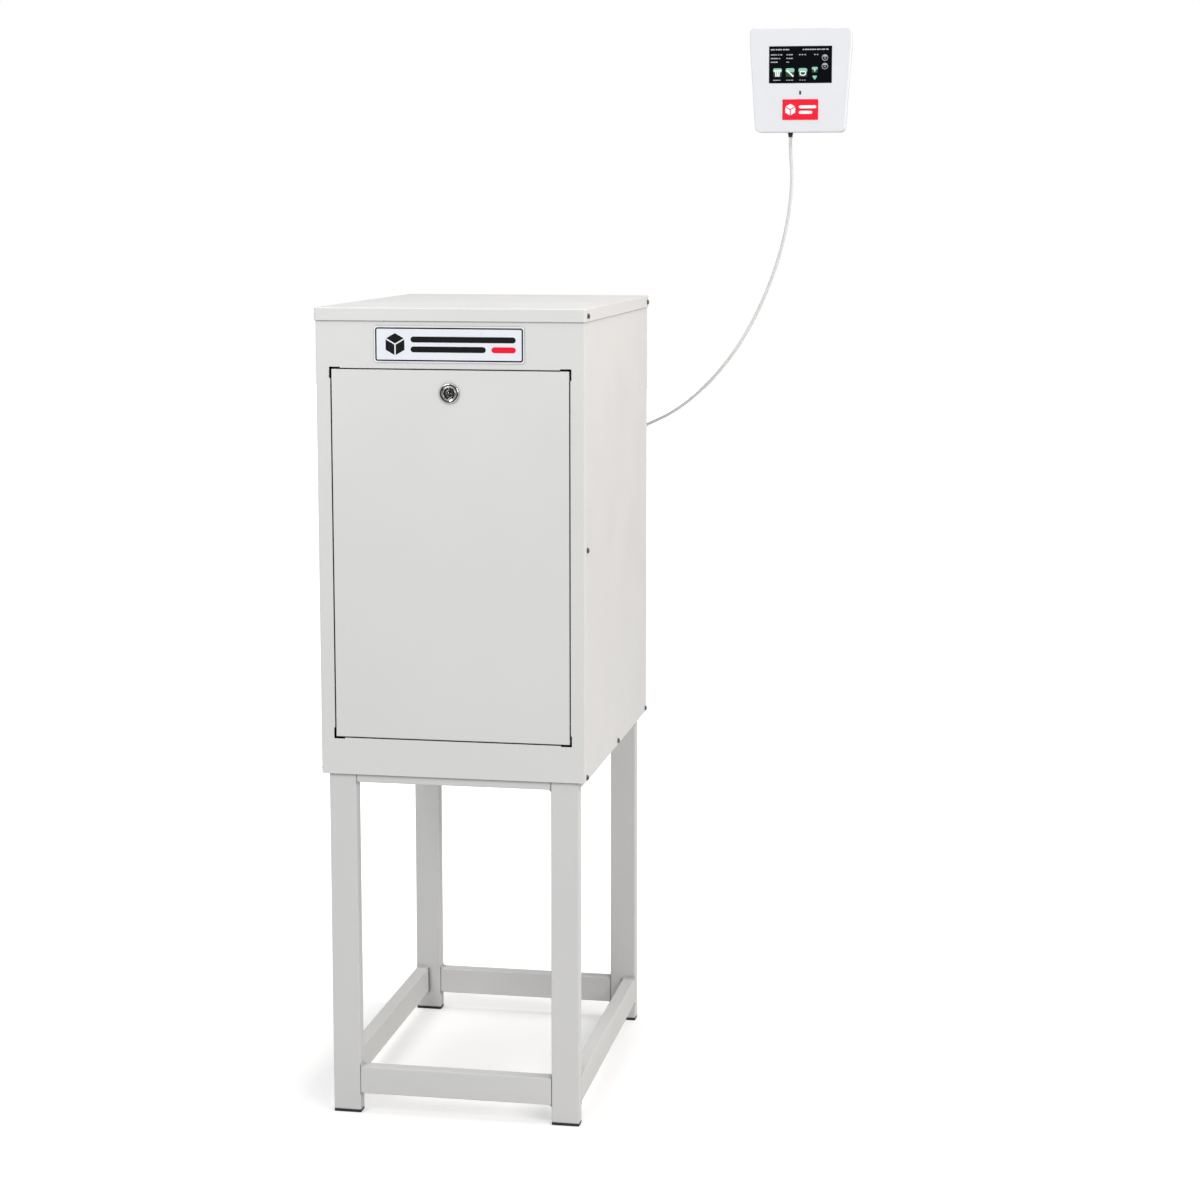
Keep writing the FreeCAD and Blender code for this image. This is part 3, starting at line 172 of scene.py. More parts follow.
OPEN_LIGHT = 0.92
SHUT_LIGHT = 0.3
# Painted shade: seams and gaps are darkened towards this near-black colour.
SEAM_SHADE_COLOUR = (0.02, 0.018, 0.017, 1.0)


def paint_seam_shade(finish, reach, darkest):
    """Paint shade: darken an already mottled colour where surfaces meet within a reach in metres."""
    tree = finish.node_tree
    colour = shader_of(finish).inputs["Base Color"]
    # Ambient occlusion finds where surfaces shade each other, and the colour is darkened there as
    # painted shade.
    crevice = tree.nodes.new("ShaderNodeAmbientOcclusion")
    crevice.samples = 6
    crevice.inputs["Distance"].default_value = reach
    shade_amount = tree.nodes.new("ShaderNodeMapRange")
    shade_amount.inputs["From Min"].default_value = SHUT_LIGHT
    shade_amount.inputs["From Max"].default_value = OPEN_LIGHT
    shade_amount.inputs["To Min"].default_value = 1 - darkest
    shade_amount.inputs["To Max"].default_value = 0.0
    seam_shaded = tree.nodes.new("ShaderNodeMix")
    seam_shaded.data_type = "RGBA"
    seam_shaded.inputs["B"].default_value = SEAM_SHADE_COLOUR
    tree.links.new(crevice.outputs["AO"], shade_amount.inputs["Value"])
    tree.links.new(shade_amount.outputs["Result"], seam_shaded.inputs["Factor"])
    tree.links.new(colour.links[0].from_socket, seam_shaded.inputs["A"])
    tree.links.new(seam_shaded.outputs["Result"], colour)


# The seam helper paints shade into the colour.
print("the helpers for grain and dust are ready")

# %% [markdown]
# ## How a piece is made
# Two ways of making a mesh cover nearly everything that is added here. Round things, such as
# a lock collar, are turned: a profile is carried round an axis, just as a lathe cuts it. Flat
# things, such as a printed line, are outlines given a little thickness. Both build with
# bmesh, which keeps the shape open for editing until it is written to a mesh. The last
# helper writes it, marks sharp edges, and says which body carries the piece.

# %% Helpers for meshes
def make_piece(name, shape, finish, body, sharp=35):
    """Write a bmesh as a piece that rides on a body and takes its finish from a slot."""
    bmesh.ops.recalc_face_normals(shape, faces=shape.faces)
    mesh = bpy.data.meshes.new(name)
    shape.to_mesh(mesh)
    shape.free()
    mesh.shade_smooth()
    mesh.set_sharp_from_angle(angle=math.radians(sharp))
    mesh.materials.append(finish)
    piece = bpy.data.objects.new(name, mesh)
    scene.collection.objects.link(piece)
    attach(piece, body)
    print(name, "has", len(mesh.polygons), "faces")
    return piece


def turn(shape, profile, centre, along, steps=48, closed=False):
    """Carry a profile of (radius, distance along the axis) pairs in mm round an axis."""
    centre = Vector(centre)
    along = Vector(along).normalized()
    across = along.orthogonal().normalized()
    side = along.cross(across)
    rings = []
    for radius, distance in profile:
        ring = []
        for i in range(steps):
            angle = math.tau * i / steps
            spoke = across * math.cos(angle) + side * math.sin(angle)
            place = centre + (along * distance + spoke * radius) * MM
            ring.append(shape.verts.new(place))
        rings.append(ring)
    pairs = list(zip(rings, rings[1:]))
    if closed:
        pairs.append((rings[-1], rings[0]))
    else:
        shape.faces.new(rings[0][::-1])
        shape.faces.new(rings[-1])
    for near, far in pairs:
        for i in range(steps):
            j = (i + 1) % steps
            shape.faces.new((near[i], near[j], far[j], far[i]))


def round_profile(radius, distance, size, start, end, steps=6):
    """Points of an arc in a profile: its centre, its radius, and the angles it runs between."""
    points = []
    for i in range(steps + 1):
        angle = math.radians(start + (end - start) * i / steps)
        points.append((radius + size * math.cos(angle), distance + size * math.sin(angle)))
    return points


def extrude(shape, outline, back, front):
    """A solid from an outline of (x, z) points in metres, between two depths y."""
    rear = [shape.verts.new((x, back, z)) for x, z in outline]
    face = [shape.verts.new((x, front, z)) for x, z in outline]
    shape.faces.new(rear)
    shape.faces.new(face[::-1])
    for i in range(len(outline)):
        j = (i + 1) % len(outline)
        shape.faces.new((rear[i], face[i], face[j], rear[j]))


print("helpers for turned and flat pieces are ready")

# %% [markdown]
# ## The cable
# A round PVC cable leaves the cabinet's back through a gland, turns along the wall and climbs
# to the panel. It could be a mesh tube, but a NURBS curve is truer: its line stays smooth
# however few points it has, and a bevel gives it its thickness. The points are where the
# cable is pulled towards, out of the gland, along the wall, and up. The order is set after
# the points, because a spline with one point can't hold an order of three.

# %% Lay the cable
CABLE_DIAMETER = 0.005
CABLE_ROUTE = [
    (0.118, 0.2952, 0.935), (0.118, 0.3102, 0.935), (0.1252, 0.3238, 0.9338),
    (0.138, 0.332, 0.934), (0.155, 0.3355, 0.9385), (0.1735, 0.336, 0.947),
    (0.194, 0.336, 0.9565), (0.2185, 0.3361, 0.9685), (0.2465, 0.3362, 0.988),
    (0.277, 0.3364, 1.0155), (0.307, 0.3366, 1.050), (0.3355, 0.3368, 1.092),
    (0.360, 0.337, 1.1395), (0.3805, 0.3372, 1.1905), (0.396, 0.3374, 1.2435),
    (0.405, 0.3378, 1.296), (0.4078, 0.339, 1.3435), (0.404, 0.3405, 1.377),
    (0.404, 0.3405, 1.401),
]

cable_line = bpy.data.curves.new("wall_cable", "CURVE")
cable_line.dimensions = "3D"
cable_line.resolution_u = 16
cable_line.bevel_depth = CABLE_DIAMETER / 2
cable_line.bevel_resolution = 6
cable_line.use_fill_caps = True
spline = cable_line.splines.new("NURBS")
spline.points.add(len(CABLE_ROUTE) - 1)
for point, place in zip(spline.points, CABLE_ROUTE):
    point.co = (*place, 1.0)
spline.order_u = 3
spline.use_endpoint_u = True
cable = bpy.data.objects.new("wall_cable", cable_line)
scene.collection.objects.link(cable)
print("cable points:", len(CABLE_ROUTE), "line length:", round(spline.calc_length(), 4))

# %% [markdown]
# The cable's sheath is soft grey PVC: a little glossy, with faint lengthwise variation where
# the extruder's speed changed and handling has dulled it. The gland and the sleeve are
# moulded, so they get a fine spark-eroded grain instead.

# %% Cable, plastic and rubber finishes
cable_grey = new_finish("cable_grey", (0.62, 0.62, 0.61), 0.42)
mottle(cable_grey, 60, 0.04)
vary_roughness(cable_grey, 90, 0.36, 0.52)
raise_grain(cable_grey, 1500, 0.00004)
shader_of(cable_grey).inputs["Subsurface Weight"].default_value = 0.05
shader_of(cable_grey).inputs["Subsurface Radius"].default_value = (0.001, 0.001, 0.001)
cable_line.materials.append(cable_grey)

black_plastic = new_finish("black_plastic", (0.016, 0.016, 0.017), 0.45)
mottle(black_plastic, 40, 0.2)
vary_roughness(black_plastic, 120, 0.38, 0.55)
raise_grain(black_plastic, 3500, 0.00006, 0.6)

black_rubber = new_finish("black_rubber", (0.022, 0.022, 0.022), 0.72)
mottle(black_rubber, 30, 0.25)
vary_roughness(black_rubber, 200, 0.62, 0.85)
raise_grain(black_rubber, 2200, 0.00008, 0.7)
print("cable, plastic and rubber are ready")

# %% [markdown]
# ## The cable gland and the sleeve
# A gland is a hexagon that is screwed to the sheet, and a domed nut whose fingers close on
# the cable. The hexagon comes from an outline of six points. The dome is turned, and shallow
# ridges round it let fingers grip it. At the panel the cable enters through a short rubber
# sleeve that widens towards the panel, with ring-shaped grooves that let it bend. A profile
# that steps in and out makes them in one turn of the lathe.

# %% Turn the gland
gland_low, gland_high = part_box("cable_gland")
gland_centre = (gland_low + gland_high) / 2
wall_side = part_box("rear_panel")[1].y
GLAND_FLATS = 0.020
HEXAGON_THICK = 0.005
GRIP_START = 0.0074
GRIP_END = 0.0124
GRIP_INNER = 0.0078
GRIP_DEPTH = 0.0006
GRIP_RIDGES = 12

gland_shape = bmesh.new()
corner_reach = GLAND_FLATS / math.sqrt(3)
hexagon = []
for i in range(6):
    angle = math.radians(60 * i)
    x = gland_centre.x + corner_reach * math.cos(angle)
    hexagon.append((x, gland_centre.z + corner_reach * math.sin(angle)))
extrude(gland_shape, hexagon, wall_side, wall_side + HEXAGON_THICK)
gland_nut = [(7.9, 4.9), (7.9, 6.2), (7.4, 6.6), (7.4, 7.2), (7.95, 7.6), (7.95, 12.2)]
gland_nut += round_profile(4.6, 12.6, 3.4, 10, 62) + [(4.4, 17.6), (3.4, 20.4), (3.1, 21.0)]
turn(gland_shape, gland_nut, (gland_centre.x, wall_side, gland_centre.z), (0, 1, 0), 48)
for vertex in gland_shape.verts:
    out = Vector((vertex.co.x - gland_centre.x, 0, vertex.co.z - gland_centre.z))
    beyond = vertex.co.y - wall_side
    if GRIP_START < beyond < GRIP_END and out.length > GRIP_INNER:
        angle = math.atan2(out.z, out.x)
        vertex.co -= out.normalized() * (GRIP_DEPTH * (1 + math.cos(GRIP_RIDGES * angle)) / 2)
gland = make_piece("gland_dome", gland_shape, black_plastic, "cabinet")
inner_thread = bmesh.new()
turn(inner_thread, [(7.8, 0), (7.8, -10.2)], (gland_centre.x, wall_side, gland_centre.z), (0, 1, 0), 32)
make_piece("gland_thread", inner_thread, black_plastic, "cabinet")
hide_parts("cable_gland")

# %% [markdown]
# The sleeve's profile repeats one groove three times, each a little wider than the last, so a
# loop writes it. It ends in a plain neck inside the panel's wall, where nobody sees it.

# %% Turn the sleeve at the panel
sleeve_low, sleeve_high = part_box("cable_relief")
sleeve_centre = (sleeve_low + sleeve_high) / 2
SLEEVE_RINGS = 3
profile = [(2.6, 0.0), (3.1, 0.0), (3.4, 0.3)]
for i in range(SLEEVE_RINGS):
    start = 1.0 + 1.9 * i
    swell = 3.45 + 0.3 * i
    profile += [(swell, start), (swell - 0.5, start + 0.3), (swell - 0.5, start + 0.8)]
    profile += [(swell + 0.1, start + 1.1)]
profile += [(4.4, 6.4), (4.5, 7.0), (3.3, 7.0), (3.3, 15.0)]
sleeve_shape = bmesh.new()
turn(sleeve_shape, profile, (sleeve_centre.x, sleeve_centre.y, sleeve_low.z), (0, 0, 1), 48)
sleeve = make_piece("cable_sleeve", sleeve_shape, black_rubber, "cabinet")
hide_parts("cable_relief")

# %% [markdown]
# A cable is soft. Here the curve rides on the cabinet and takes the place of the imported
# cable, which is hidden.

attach(cable, "cabinet")
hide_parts("panel_cable")
print("the cable runs from the gland to the sleeve")

# %% [markdown]
# ## Floor and light
# White things need light that shapes them without burning out, so a pale world lights every
# side and lamps only add to it. The standard view transform keeps white as white. The world
# has two backgrounds: a softer one that gives light, and a pure white one that only the
# camera sees. A Light Path node chooses between them.

# %% Set the view and the world
scene.view_settings.view_transform = "Standard"
WORLD_LIGHT = 0.44
world = bpy.data.worlds.new("studio")
scene.world = world
world.use_nodes = True
tree = world.node_tree
lighting = tree.nodes["Background"]
lighting.inputs["Color"].default_value = (0.98, 0.99, 1.0, 1.0)
lighting.inputs["Strength"].default_value = WORLD_LIGHT
backdrop = tree.nodes.new("ShaderNodeBackground")
backdrop.inputs["Color"].default_value = (1.0, 1.0, 1.0, 1.0)
seen = tree.nodes.new("ShaderNodeLightPath")
choose = tree.nodes.new("ShaderNodeMixShader")
tree.links.new(seen.outputs["Is Camera Ray"], choose.inputs["Fac"])
tree.links.new(lighting.outputs["Background"], choose.inputs[1])
tree.links.new(backdrop.outputs["Background"], choose.inputs[2])
tree.links.new(choose.outputs["Shader"], tree.nodes["World Output"].inputs["Surface"])
print("the world gives light of strength", WORLD_LIGHT, "before a pure white backdrop")

# %% [markdown]
# Four soft lamps give each side its own tone. The key lamp, at the front on the right, lights
# the front and the side; one high on the left fills the front; the broadest, above, draws the
# lid; and a warmer one on the right sets the side apart. A lamp is aimed by turning its -Z
# axis towards a point, which is easier to read than three angles.

# %% Hang the lamps
def soft_lamp(name, place, aim, size, watts, colour=(1.0, 1.0, 1.0)):
    """A square lamp, its size in metres, that faces the point it is aimed at."""
    lamp = bpy.data.lights.new(name, "AREA")
    lamp.size = size
    lamp.energy = watts
    lamp.color = colour
    stand = bpy.data.objects.new(name, lamp)
    stand.location = place
    facing = Vector(aim) - Vector(place)
    stand.rotation_euler = facing.to_track_quat("-Z", "Y").to_euler()
    scene.collection.objects.link(stand)


soft_lamp("key_lamp", (2.2, -2.4, 1.9), (0.1, 0, 0.85), 1.4, 27, (1.0, 0.98, 0.96))
soft_lamp("fill_lamp", (-0.9, -1.6, 2.3), (0, -0.25, 1.3), 1.0, 24)
soft_lamp("top_lamp", (0.2, 0.1, 3.6), (0.1, 0, 1.0), 2.6, 30)
soft_lamp("side_lamp", (2.2, 0.1, 2.3), (0.2, 0, 1.2), 1.2, 35, (1.0, 0.93, 0.87))
print("four lamps hang round the object")

# %% [markdown]
# The floor is pale and matt. Away from the object it starts to glow, up to the white of the
# backdrop, so no horizon shows; only the camera sees that glow. Dark cards that only
# reflections can see give the chrome something to mirror, which is how a studio lights
# polished metal.

# %% Lay the floor and stand the cards
def flat_card(name, corners, finish):
    """One flat face that belongs to the studio and not to the object."""
    mesh = bpy.data.meshes.new(name)
    mesh.from_pydata(corners, [], [(0, 1, 2, 3)])
    mesh.materials.append(finish)
    card = bpy.data.objects.new(name, mesh)
    scene.collection.objects.link(card)
    return card


FLOOR_HALF = 14.0
FADE_FAR = 1.4
GLOW_NEAR = 0.22
GLOW_FAR = 1.0
floor_white = new_finish("floor_white", (0.80, 0.80, 0.80), 0.85)
mottle(floor_white, 2, 0.01)
raise_grain(floor_white, 400, 0.0002, 0.1)
tree = floor_white.node_tree
place = tree.nodes.new("ShaderNodeTexCoord")
away = tree.nodes.new("ShaderNodeVectorMath")
away.operation = "LENGTH"
fade = tree.nodes.new("ShaderNodeMapRange")
fade.interpolation_type = "SMOOTHSTEP"
fade.inputs["From Max"].default_value = FADE_FAR
fade.inputs["To Min"].default_value = GLOW_NEAR
fade.inputs["To Max"].default_value = GLOW_FAR
tree.links.new(place.outputs["Object"], away.inputs[0])
tree.links.new(away.outputs["Value"], fade.inputs["Value"])
shader_of(floor_white).inputs["Emission Color"].default_value = (1.0, 1.0, 1.0, 1.0)
seen = tree.nodes.new("ShaderNodeLightPath")
backdrop_only = tree.nodes.new("ShaderNodeMath")
backdrop_only.operation = "MULTIPLY"
tree.links.new(fade.outputs["Result"], backdrop_only.inputs[0])
tree.links.new(seen.outputs["Is Camera Ray"], backdrop_only.inputs[1])
tree.links.new(backdrop_only.outputs["Value"], shader_of(floor_white).inputs["Emission Strength"])
square = [(-1, -1), (1, -1), (1, 1), (-1, 1)]
flat_card("studio_floor", [(x * FLOOR_HALF, y * FLOOR_HALF, 0) for x, y in square], floor_white)

card_black = new_finish("card_black", (0.02, 0.02, 0.02), 0.9)
mottle(card_black, 3, 0.1)
CARDS = {
    "card_front": ((-2.3, 1.0), (0.25, 2.3), -4.3),
    "card_low": ((-2.0, 2.0), (0.02, 0.5), -2.2),
    "card_high": ((-0.5, 0.6), (2.3, 3.4), -2.4),
}
for name, ((left, right), (low, high), depth) in CARDS.items():
    corners = [(left, depth, low), (right, depth, low), (right, depth, high), (left, depth, high)]
    card = flat_card(name, corners, card_black)
    card.visible_camera = False
    card.visible_diffuse = False
    card.visible_shadow = False
    card.visible_transmission = False
print("the floor is", 2 * FLOOR_HALF, "m wide, with", len(CARDS), "dark cards round it")

# %% [markdown]
# ## Powder coat
# The cabinet's white is powder, sprayed dry and melted in an oven. It flows almost level and
# leaves a faint orange peel of about two millimetres, with a finer tooth on top. A clean
# gloss would look like enamel and a plain matt like paper, so the roughness sits between and
# drifts a little, where hands and cloths have polished it. Seams get painted shade. The stand
# is coated in the same white; its colour is set greyer here as painted shade for its place
# low under the cabinet, and its coat is slightly flatter.

# %% Powder-coat finishes
# How far the painted seam shade reaches, in metres, and how much light it leaves.
SEAM_REACH = 0.0075
SEAM_LIGHT = 0.04


def powder_coat(name, colour, roughness):
    """Orange peel of two sizes over a colour with painted shade in its seams."""
    coat = new_finish(name, colour, roughness)
    mottle(coat, 5, 0.012)
    vary_roughness(coat, 14, roughness - 0.05, roughness + 0.07)
    raise_grain(coat, 520, 0.00012, 0.16)
    raise_grain(coat, 2600, 0.00003, 0.25)
    # Painted shade: the colour darkens to near-black where surfaces meet.
    paint_seam_shade(coat, SEAM_REACH, SEAM_LIGHT)
    shader_of(coat).inputs["Specular IOR Level"].default_value = 0.42
    return coat


cabinet_paint = powder_coat("cabinet_paint", (0.675, 0.675, 0.67), 0.44)
# The stand's greyer colour is painted shade for its place low under the cabinet.
stand_paint = powder_coat("stand_paint", (0.62, 0.62, 0.617), 0.50)
print("two powder coats are ready")

# %% [markdown]
# ## Metals
# Zinc plating is a thin grey skin with faint crystals and a slight warmth, so its colour and
# roughness vary over a few millimetres. The outside screws are bare steel, darker and oiled.
# The lock's chrome is polished: its only marks are hairlines that turning left, far finer
# than the shape.

# %% Zinc and chrome
zinc = new_finish("zinc", (0.56, 0.56, 0.55), 0.34, 1.0)
mottle(zinc, 180, 0.10)
vary_roughness(zinc, 420, 0.26, 0.46)
raise_grain(zinc, 1400, 0.00005, 0.3)

screw_steel = new_finish("screw_steel", (0.13, 0.125, 0.12), 0.30, 1.0)
mottle(screw_steel, 260, 0.15)
vary_roughness(screw_steel, 500, 0.22, 0.42)
raise_grain(screw_steel, 1800, 0.00004, 0.3)

chrome = new_finish("chrome", (0.66, 0.655, 0.65), 0.07, 1.0)
mottle(chrome, 90, 0.02)
vary_roughness(chrome, 260, 0.05, 0.12, (1.0, 1.0, 9.0))
raise_grain(chrome, 900, 0.00001, 0.15)
print("three metals are ready")

# %% [markdown]
# ## Plastics, glass and print
# The panel's cover is pale ABS, faintly blue, with a fine moulded grain and a soft glow where
# light enters its edges. The rail modules are duller grey plastics. Board, glass, lens, plate
# and label each have one thing that marks them: woven glass under green lacquer, a deep
# gloss, a smoky tint, a satin film, and paper tooth under red ink.

# %% Plastic and print finishes
def moulded(name, colour, roughness, grain=2400):
    """A plastic, glass or ink with a fine grain; a higher number is a finer one."""
    plastic = new_finish(name, colour, roughness)
    mottle(plastic, 25, 0.015)
    vary_roughness(plastic, 80, roughness - 0.04, roughness + 0.08)
    raise_grain(plastic, grain, 0.00004, 0.45)
    return plastic


panel_white = moulded("panel_white", (0.70, 0.72, 0.745), 0.42)
shader_of(panel_white).inputs["Subsurface Weight"].default_value = 0.08
shader_of(panel_white).inputs["Subsurface Radius"].default_value = (0.003, 0.003, 0.003)
module_grey = moulded("module_grey", (0.46, 0.47, 0.47), 0.5)
module_dark = moulded("module_dark", (0.055, 0.060, 0.066), 0.48)
label_white = moulded("label_white", (0.77, 0.80, 0.85), 0.30, 1200)
label_red = moulded("label_red", (0.82, 0.004, 0.028), 0.55, 3000)
shader_of(label_red).inputs["Specular IOR Level"].default_value = 0.25
board_green = moulded("board_green", (0.012, 0.13, 0.055), 0.32, 1600)
lens_dark = moulded("lens_dark", (0.055, 0.058, 0.065), 0.16, 600)
screen_black = moulded("screen_black", (0.004, 0.0045, 0.006), 0.10, 300)
shader_of(screen_black).inputs["Specular IOR Level"].default_value = 0.14
ink_black = moulded("ink_black", (0.008, 0.008, 0.009), 0.50, 2600)
shader_of(ink_black).inputs["Specular IOR Level"].default_value = 0.15
ink_white = moulded("ink_white", (0.90, 0.90, 0.91), 0.45, 2600)
print("plastics, glass and inks are ready")

# %% [markdown]
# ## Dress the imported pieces
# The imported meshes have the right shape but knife-sharp edges, and real sheet, tube and
# moulding never do. Each node keeps its mesh; modifiers do the work on top. Weld joins the
# faces that the file keeps apart, and a planar decimate removes the needless triangles inside
# flat faces. On most tubes and on the flap a fresh triangulation follows, since a large face
# round a hole would fold over itself. A bevel rounds only edges that turn by more than forty
# degrees; its strip catches a thin bright line along a fold or cut edge. Weighted normals
# keep the large faces perfectly flat.

# %% Soften edges and hand out finishes
WELD_REACH = 0.00001
FLAT_WITHIN = math.radians(0.6)
SHARP_BEYOND = math.radians(40)
legs = [f"leg_{end}_{side}" for end in ("front", "rear") for side in ("left", "right")]
stretchers = [f"stretcher_{place}" for place in ("front", "rear", "left", "right")]
top_rails = [f"top_rail_{place}" for place in ("front", "rear", "left", "right")]
CUT = ("door_panel", "top_rail_front", "top_rail_rear", *legs, *stretchers)
BEVEL_SEGMENTS = 2
NORMAL_WEIGHT = 80


def soften(node, width):
    """Round a node's sharp edges with modifiers; the width is in metres."""
    weld = node.modifiers.new("join_faces", "WELD")
    weld.merge_threshold = WELD_REACH
    flat = node.modifiers.new("clean_flats", "DECIMATE")
    flat.decimate_type = "DISSOLVE"
    flat.angle_limit = FLAT_WITHIN
    if node.name in CUT:
        node.modifiers.new("cut_flats", "TRIANGULATE")
    bevel = node.modifiers.new("soft_edges", "BEVEL")
    bevel.width = width
    bevel.segments = BEVEL_SEGMENTS
    bevel.limit_method = "ANGLE"
    bevel.angle_limit = SHARP_BEYOND
    bevel.use_clamp_overlap = False
    bevel.miter_outer = "MITER_ARC"
    normals = node.modifiers.new("flat_normals", "WEIGHTED_NORMAL")
    normals.keep_sharp = True
    normals.weight = NORMAL_WEIGHT


def dress(finish, width, *names):
    """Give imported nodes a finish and, where a width is given in mm, rounded edges."""
    for name in names:
        node = nodes[name]
        for index in range(len(node.material_slots)):
            node.material_slots[index].material = finish
        if width:
            soften(node, width * MM)
    print(finish.name, "on", len(names), "nodes")


dress(stand_paint, 0.9, *legs)
dress(stand_paint, 1.1, *top_rails, *stretchers)
dress(cabinet_paint, 0.6, "lid", "door_panel")
dress(cabinet_paint, 0.45, "body_shell")
dress(cabinet_paint, 0.36, "floor_tray", "rear_panel")
dress(cabinet_paint, 0.3, "door_posts", "door_stiffener")
dress(black_plastic, 0.6, "foot_caps")
dress(black_plastic, 0, "gland_nut", "breaker_toggle")
dress(black_rubber, 0, "entry_plug", "stop_buffers")
dress(zinc, 0.25, "closing_stops", "equipment_plate", "din_rail", "lock_nut", "lock_cam")
dress(screw_steel, 0, "side_screws", "lid_screws", "rear_screws")
dress(zinc, 0, "stand_bolts", "stand_washers", "stand_nuts", "stay_studs", "hinge_pins",
      "door_stays", "stay_rivets", "cam_screw", "plate_standoffs")
dress(chrome, 0.2, "lock_plug")
dress(chrome, 0, "lock_housing")
dress(label_white, 0.15, "label_plate")
dress(module_grey, 0.4, "door_sensor", "door_magnet", "power_supply", "circuit_breaker",
      "terminal_row", "display_module")
dress(module_dark, 0.4, "controller")
dress(panel_white, 0.25, "panel_cover", "panel_base")
dress(lens_dark, 0.2, "indicator_light")
dress(board_green, 0.1, "panel_board")
dress(screen_black, 0.1, "touch_glass")
dress(label_red, 0.05, "panel_label")

# %% [markdown]
# ## Welds of the stand
# The tubes meet in butt joints. On the outside the weld is ground flush and vanishes under
# the coat, but in each inside corner a small hollow fillet stays, because a grinding disc
# can't reach it. A fillet is a short prism with one concave side. Its arc is drawn from the
# corner and the two directions that leave it, so one function serves every corner.

# %% Fillet welds in the inside corners
WELD_SIZE = 0.0028
WELD_STEPS = 6


def weld_fillet(shape, corner, arm_a, arm_b, run):
    """A concave fillet: the arms lie along the two faces, and the run along the corner."""
    corner, arm_a, arm_b, run = Vector(corner), Vector(arm_a), Vector(arm_b), Vector(run)
    outline = [corner]
    for i in range(WELD_STEPS + 1):
        angle = math.radians(90 * i / WELD_STEPS)
        pull = arm_b * math.cos(angle) + arm_a * math.sin(angle)
        outline.append(corner + (arm_a + arm_b - pull) * WELD_SIZE)
    start = [shape.verts.new(point) for point in outline]
    end = [shape.verts.new(point + run) for point in outline]
    shape.faces.new(start)
    shape.faces.new(end[::-1])
    for i in range(len(outline)):
        j = (i + 1) % len(outline)
        shape.faces.new((start[i], end[i], end[j], start[j]))


leg_low, leg_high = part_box("leg_front_right")
stretch_low, stretch_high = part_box("stretcher_front")
rail_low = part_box("top_rail_front")[0].z
WELD_RUN = 0.02
weld_levels = [(stretch_low.z, -1), (stretch_high.z, 1), (rail_low, -1)]
weld_shape = bmesh.new()
for side in (-1, 1):
    for end in (-1, 1):
        for level, up in weld_levels:
            corner = (side * leg_low.x, end * -leg_low.y, level)
            weld_fillet(weld_shape, corner, (-side, 0, 0), (0, 0, up), (0, -end * WELD_RUN, 0))
            corner = (side * leg_high.x, end * -leg_high.y, level)
            weld_fillet(weld_shape, corner, (0, -end, 0), (0, 0, up), (-side * WELD_RUN, 0, 0))
make_piece("stand_welds", weld_shape, stand_paint, "cabinet")

# %% [markdown]
# ## The lock
# The lock's front is a chromed collar, turned from brass, round a plug with a ring-shaped key
# way. Its highlights come from its shape: a rounded outer rim, a shallow dish, and a fine
# step where the plug sits. A turned profile with arcs at each of those places gives the
# reflections somewhere to break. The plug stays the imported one, because its key way and its
# notches are real cuts that turn with the key.

# %% Turn the lock's collar
collar_low, collar_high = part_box("lock_housing")
lock_centre = (collar_low + collar_high) / 2
door_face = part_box("door_panel")[0].y
COLLAR_RADIUS = 14.0
COLLAR_PROUD = 2.5
BORE_RADIUS = 8.0
profile = [(COLLAR_RADIUS, 0.0), (COLLAR_RADIUS, 0.6)]
profile += round_profile(COLLAR_RADIUS - 1.8, 0.7, 1.8, 0, 80, 8)
profile += [(11.2, COLLAR_PROUD - 0.02), (10.4, 2.35), (9.7, 2.05), (9.3, 1.95)]
profile += round_profile(8.75, 2.05, 0.45, 20, 160, 6)
profile += [(BORE_RADIUS + 0.02, 1.7), (BORE_RADIUS, -20.0), (11.0, -20.0), (11.0, 0.0)]
collar_shape = bmesh.new()
turn(collar_shape, profile, (lock_centre.x, door_face, lock_centre.z), (0, -1, 0), 96, True)
collar = make_piece("lock_collar", collar_shape, chrome, "door", 50)
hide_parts("lock_housing")

# %% [markdown]
# ## The printed plate
# Above the flap sits a satin plate with a black keyline. Its print is drawn here as ink with
# a little body: a rounded frame, a parcel seen from its corner, and plain bars that stand for
# a line of text without saying anything. Round-ended bars are enough to draw all of it.

# %% Ink helpers
INK_BODY = 0.00006


def rounded_box(x, z, width, height, corner, steps=5):
    """The outline of a rectangle with round corners, round its middle."""
    points = []
    for quarter, (sx, sz) in enumerate(((1, 1), (-1, 1), (-1, -1), (1, -1))):
        for i in range(steps + 1):
            angle = math.radians(90 * (quarter + i / steps))
            px = x + sx * (width / 2 - corner) + corner * math.cos(angle)
            points.append((px, z + sz * (height / 2 - corner) + corner * math.sin(angle)))
    return points


def frame_line(shape, x, z, width, height, corner, line, back, front):
    """A rounded frame of even line width."""
    outer = rounded_box(x, z, width, height, corner)
    inner = rounded_box(x, z, width - 2 * line, height - 2 * line, corner - line)
    loops = []
    for outline, y in ((outer, back), (outer, front), (inner, front), (inner, back)):
        loops.append([shape.verts.new((px, y, pz)) for px, pz in outline])
    count = len(outer)
    for near, far in zip(loops, loops[1:] + loops[:1]):
        for i in range(count):
            j = (i + 1) % count
            shape.faces.new((near[i], near[j], far[j], far[i]))


def stroke(shape, start, end, width, back, front, steps=6):
    """A round-ended bar between two (x, z) points."""
    (x0, z0), (x1, z1) = start, end
    heading = math.atan2(z1 - z0, x1 - x0)
    outline = []
    for x, z, base in ((x1, z1, heading - math.pi / 2), (x0, z0, heading + math.pi / 2)):
        for i in range(steps + 1):
            angle = base + math.pi * i / steps
            outline.append((x + width / 2 * math.cos(angle), z + width / 2 * math.sin(angle)))
    extrude(shape, outline, back, front)


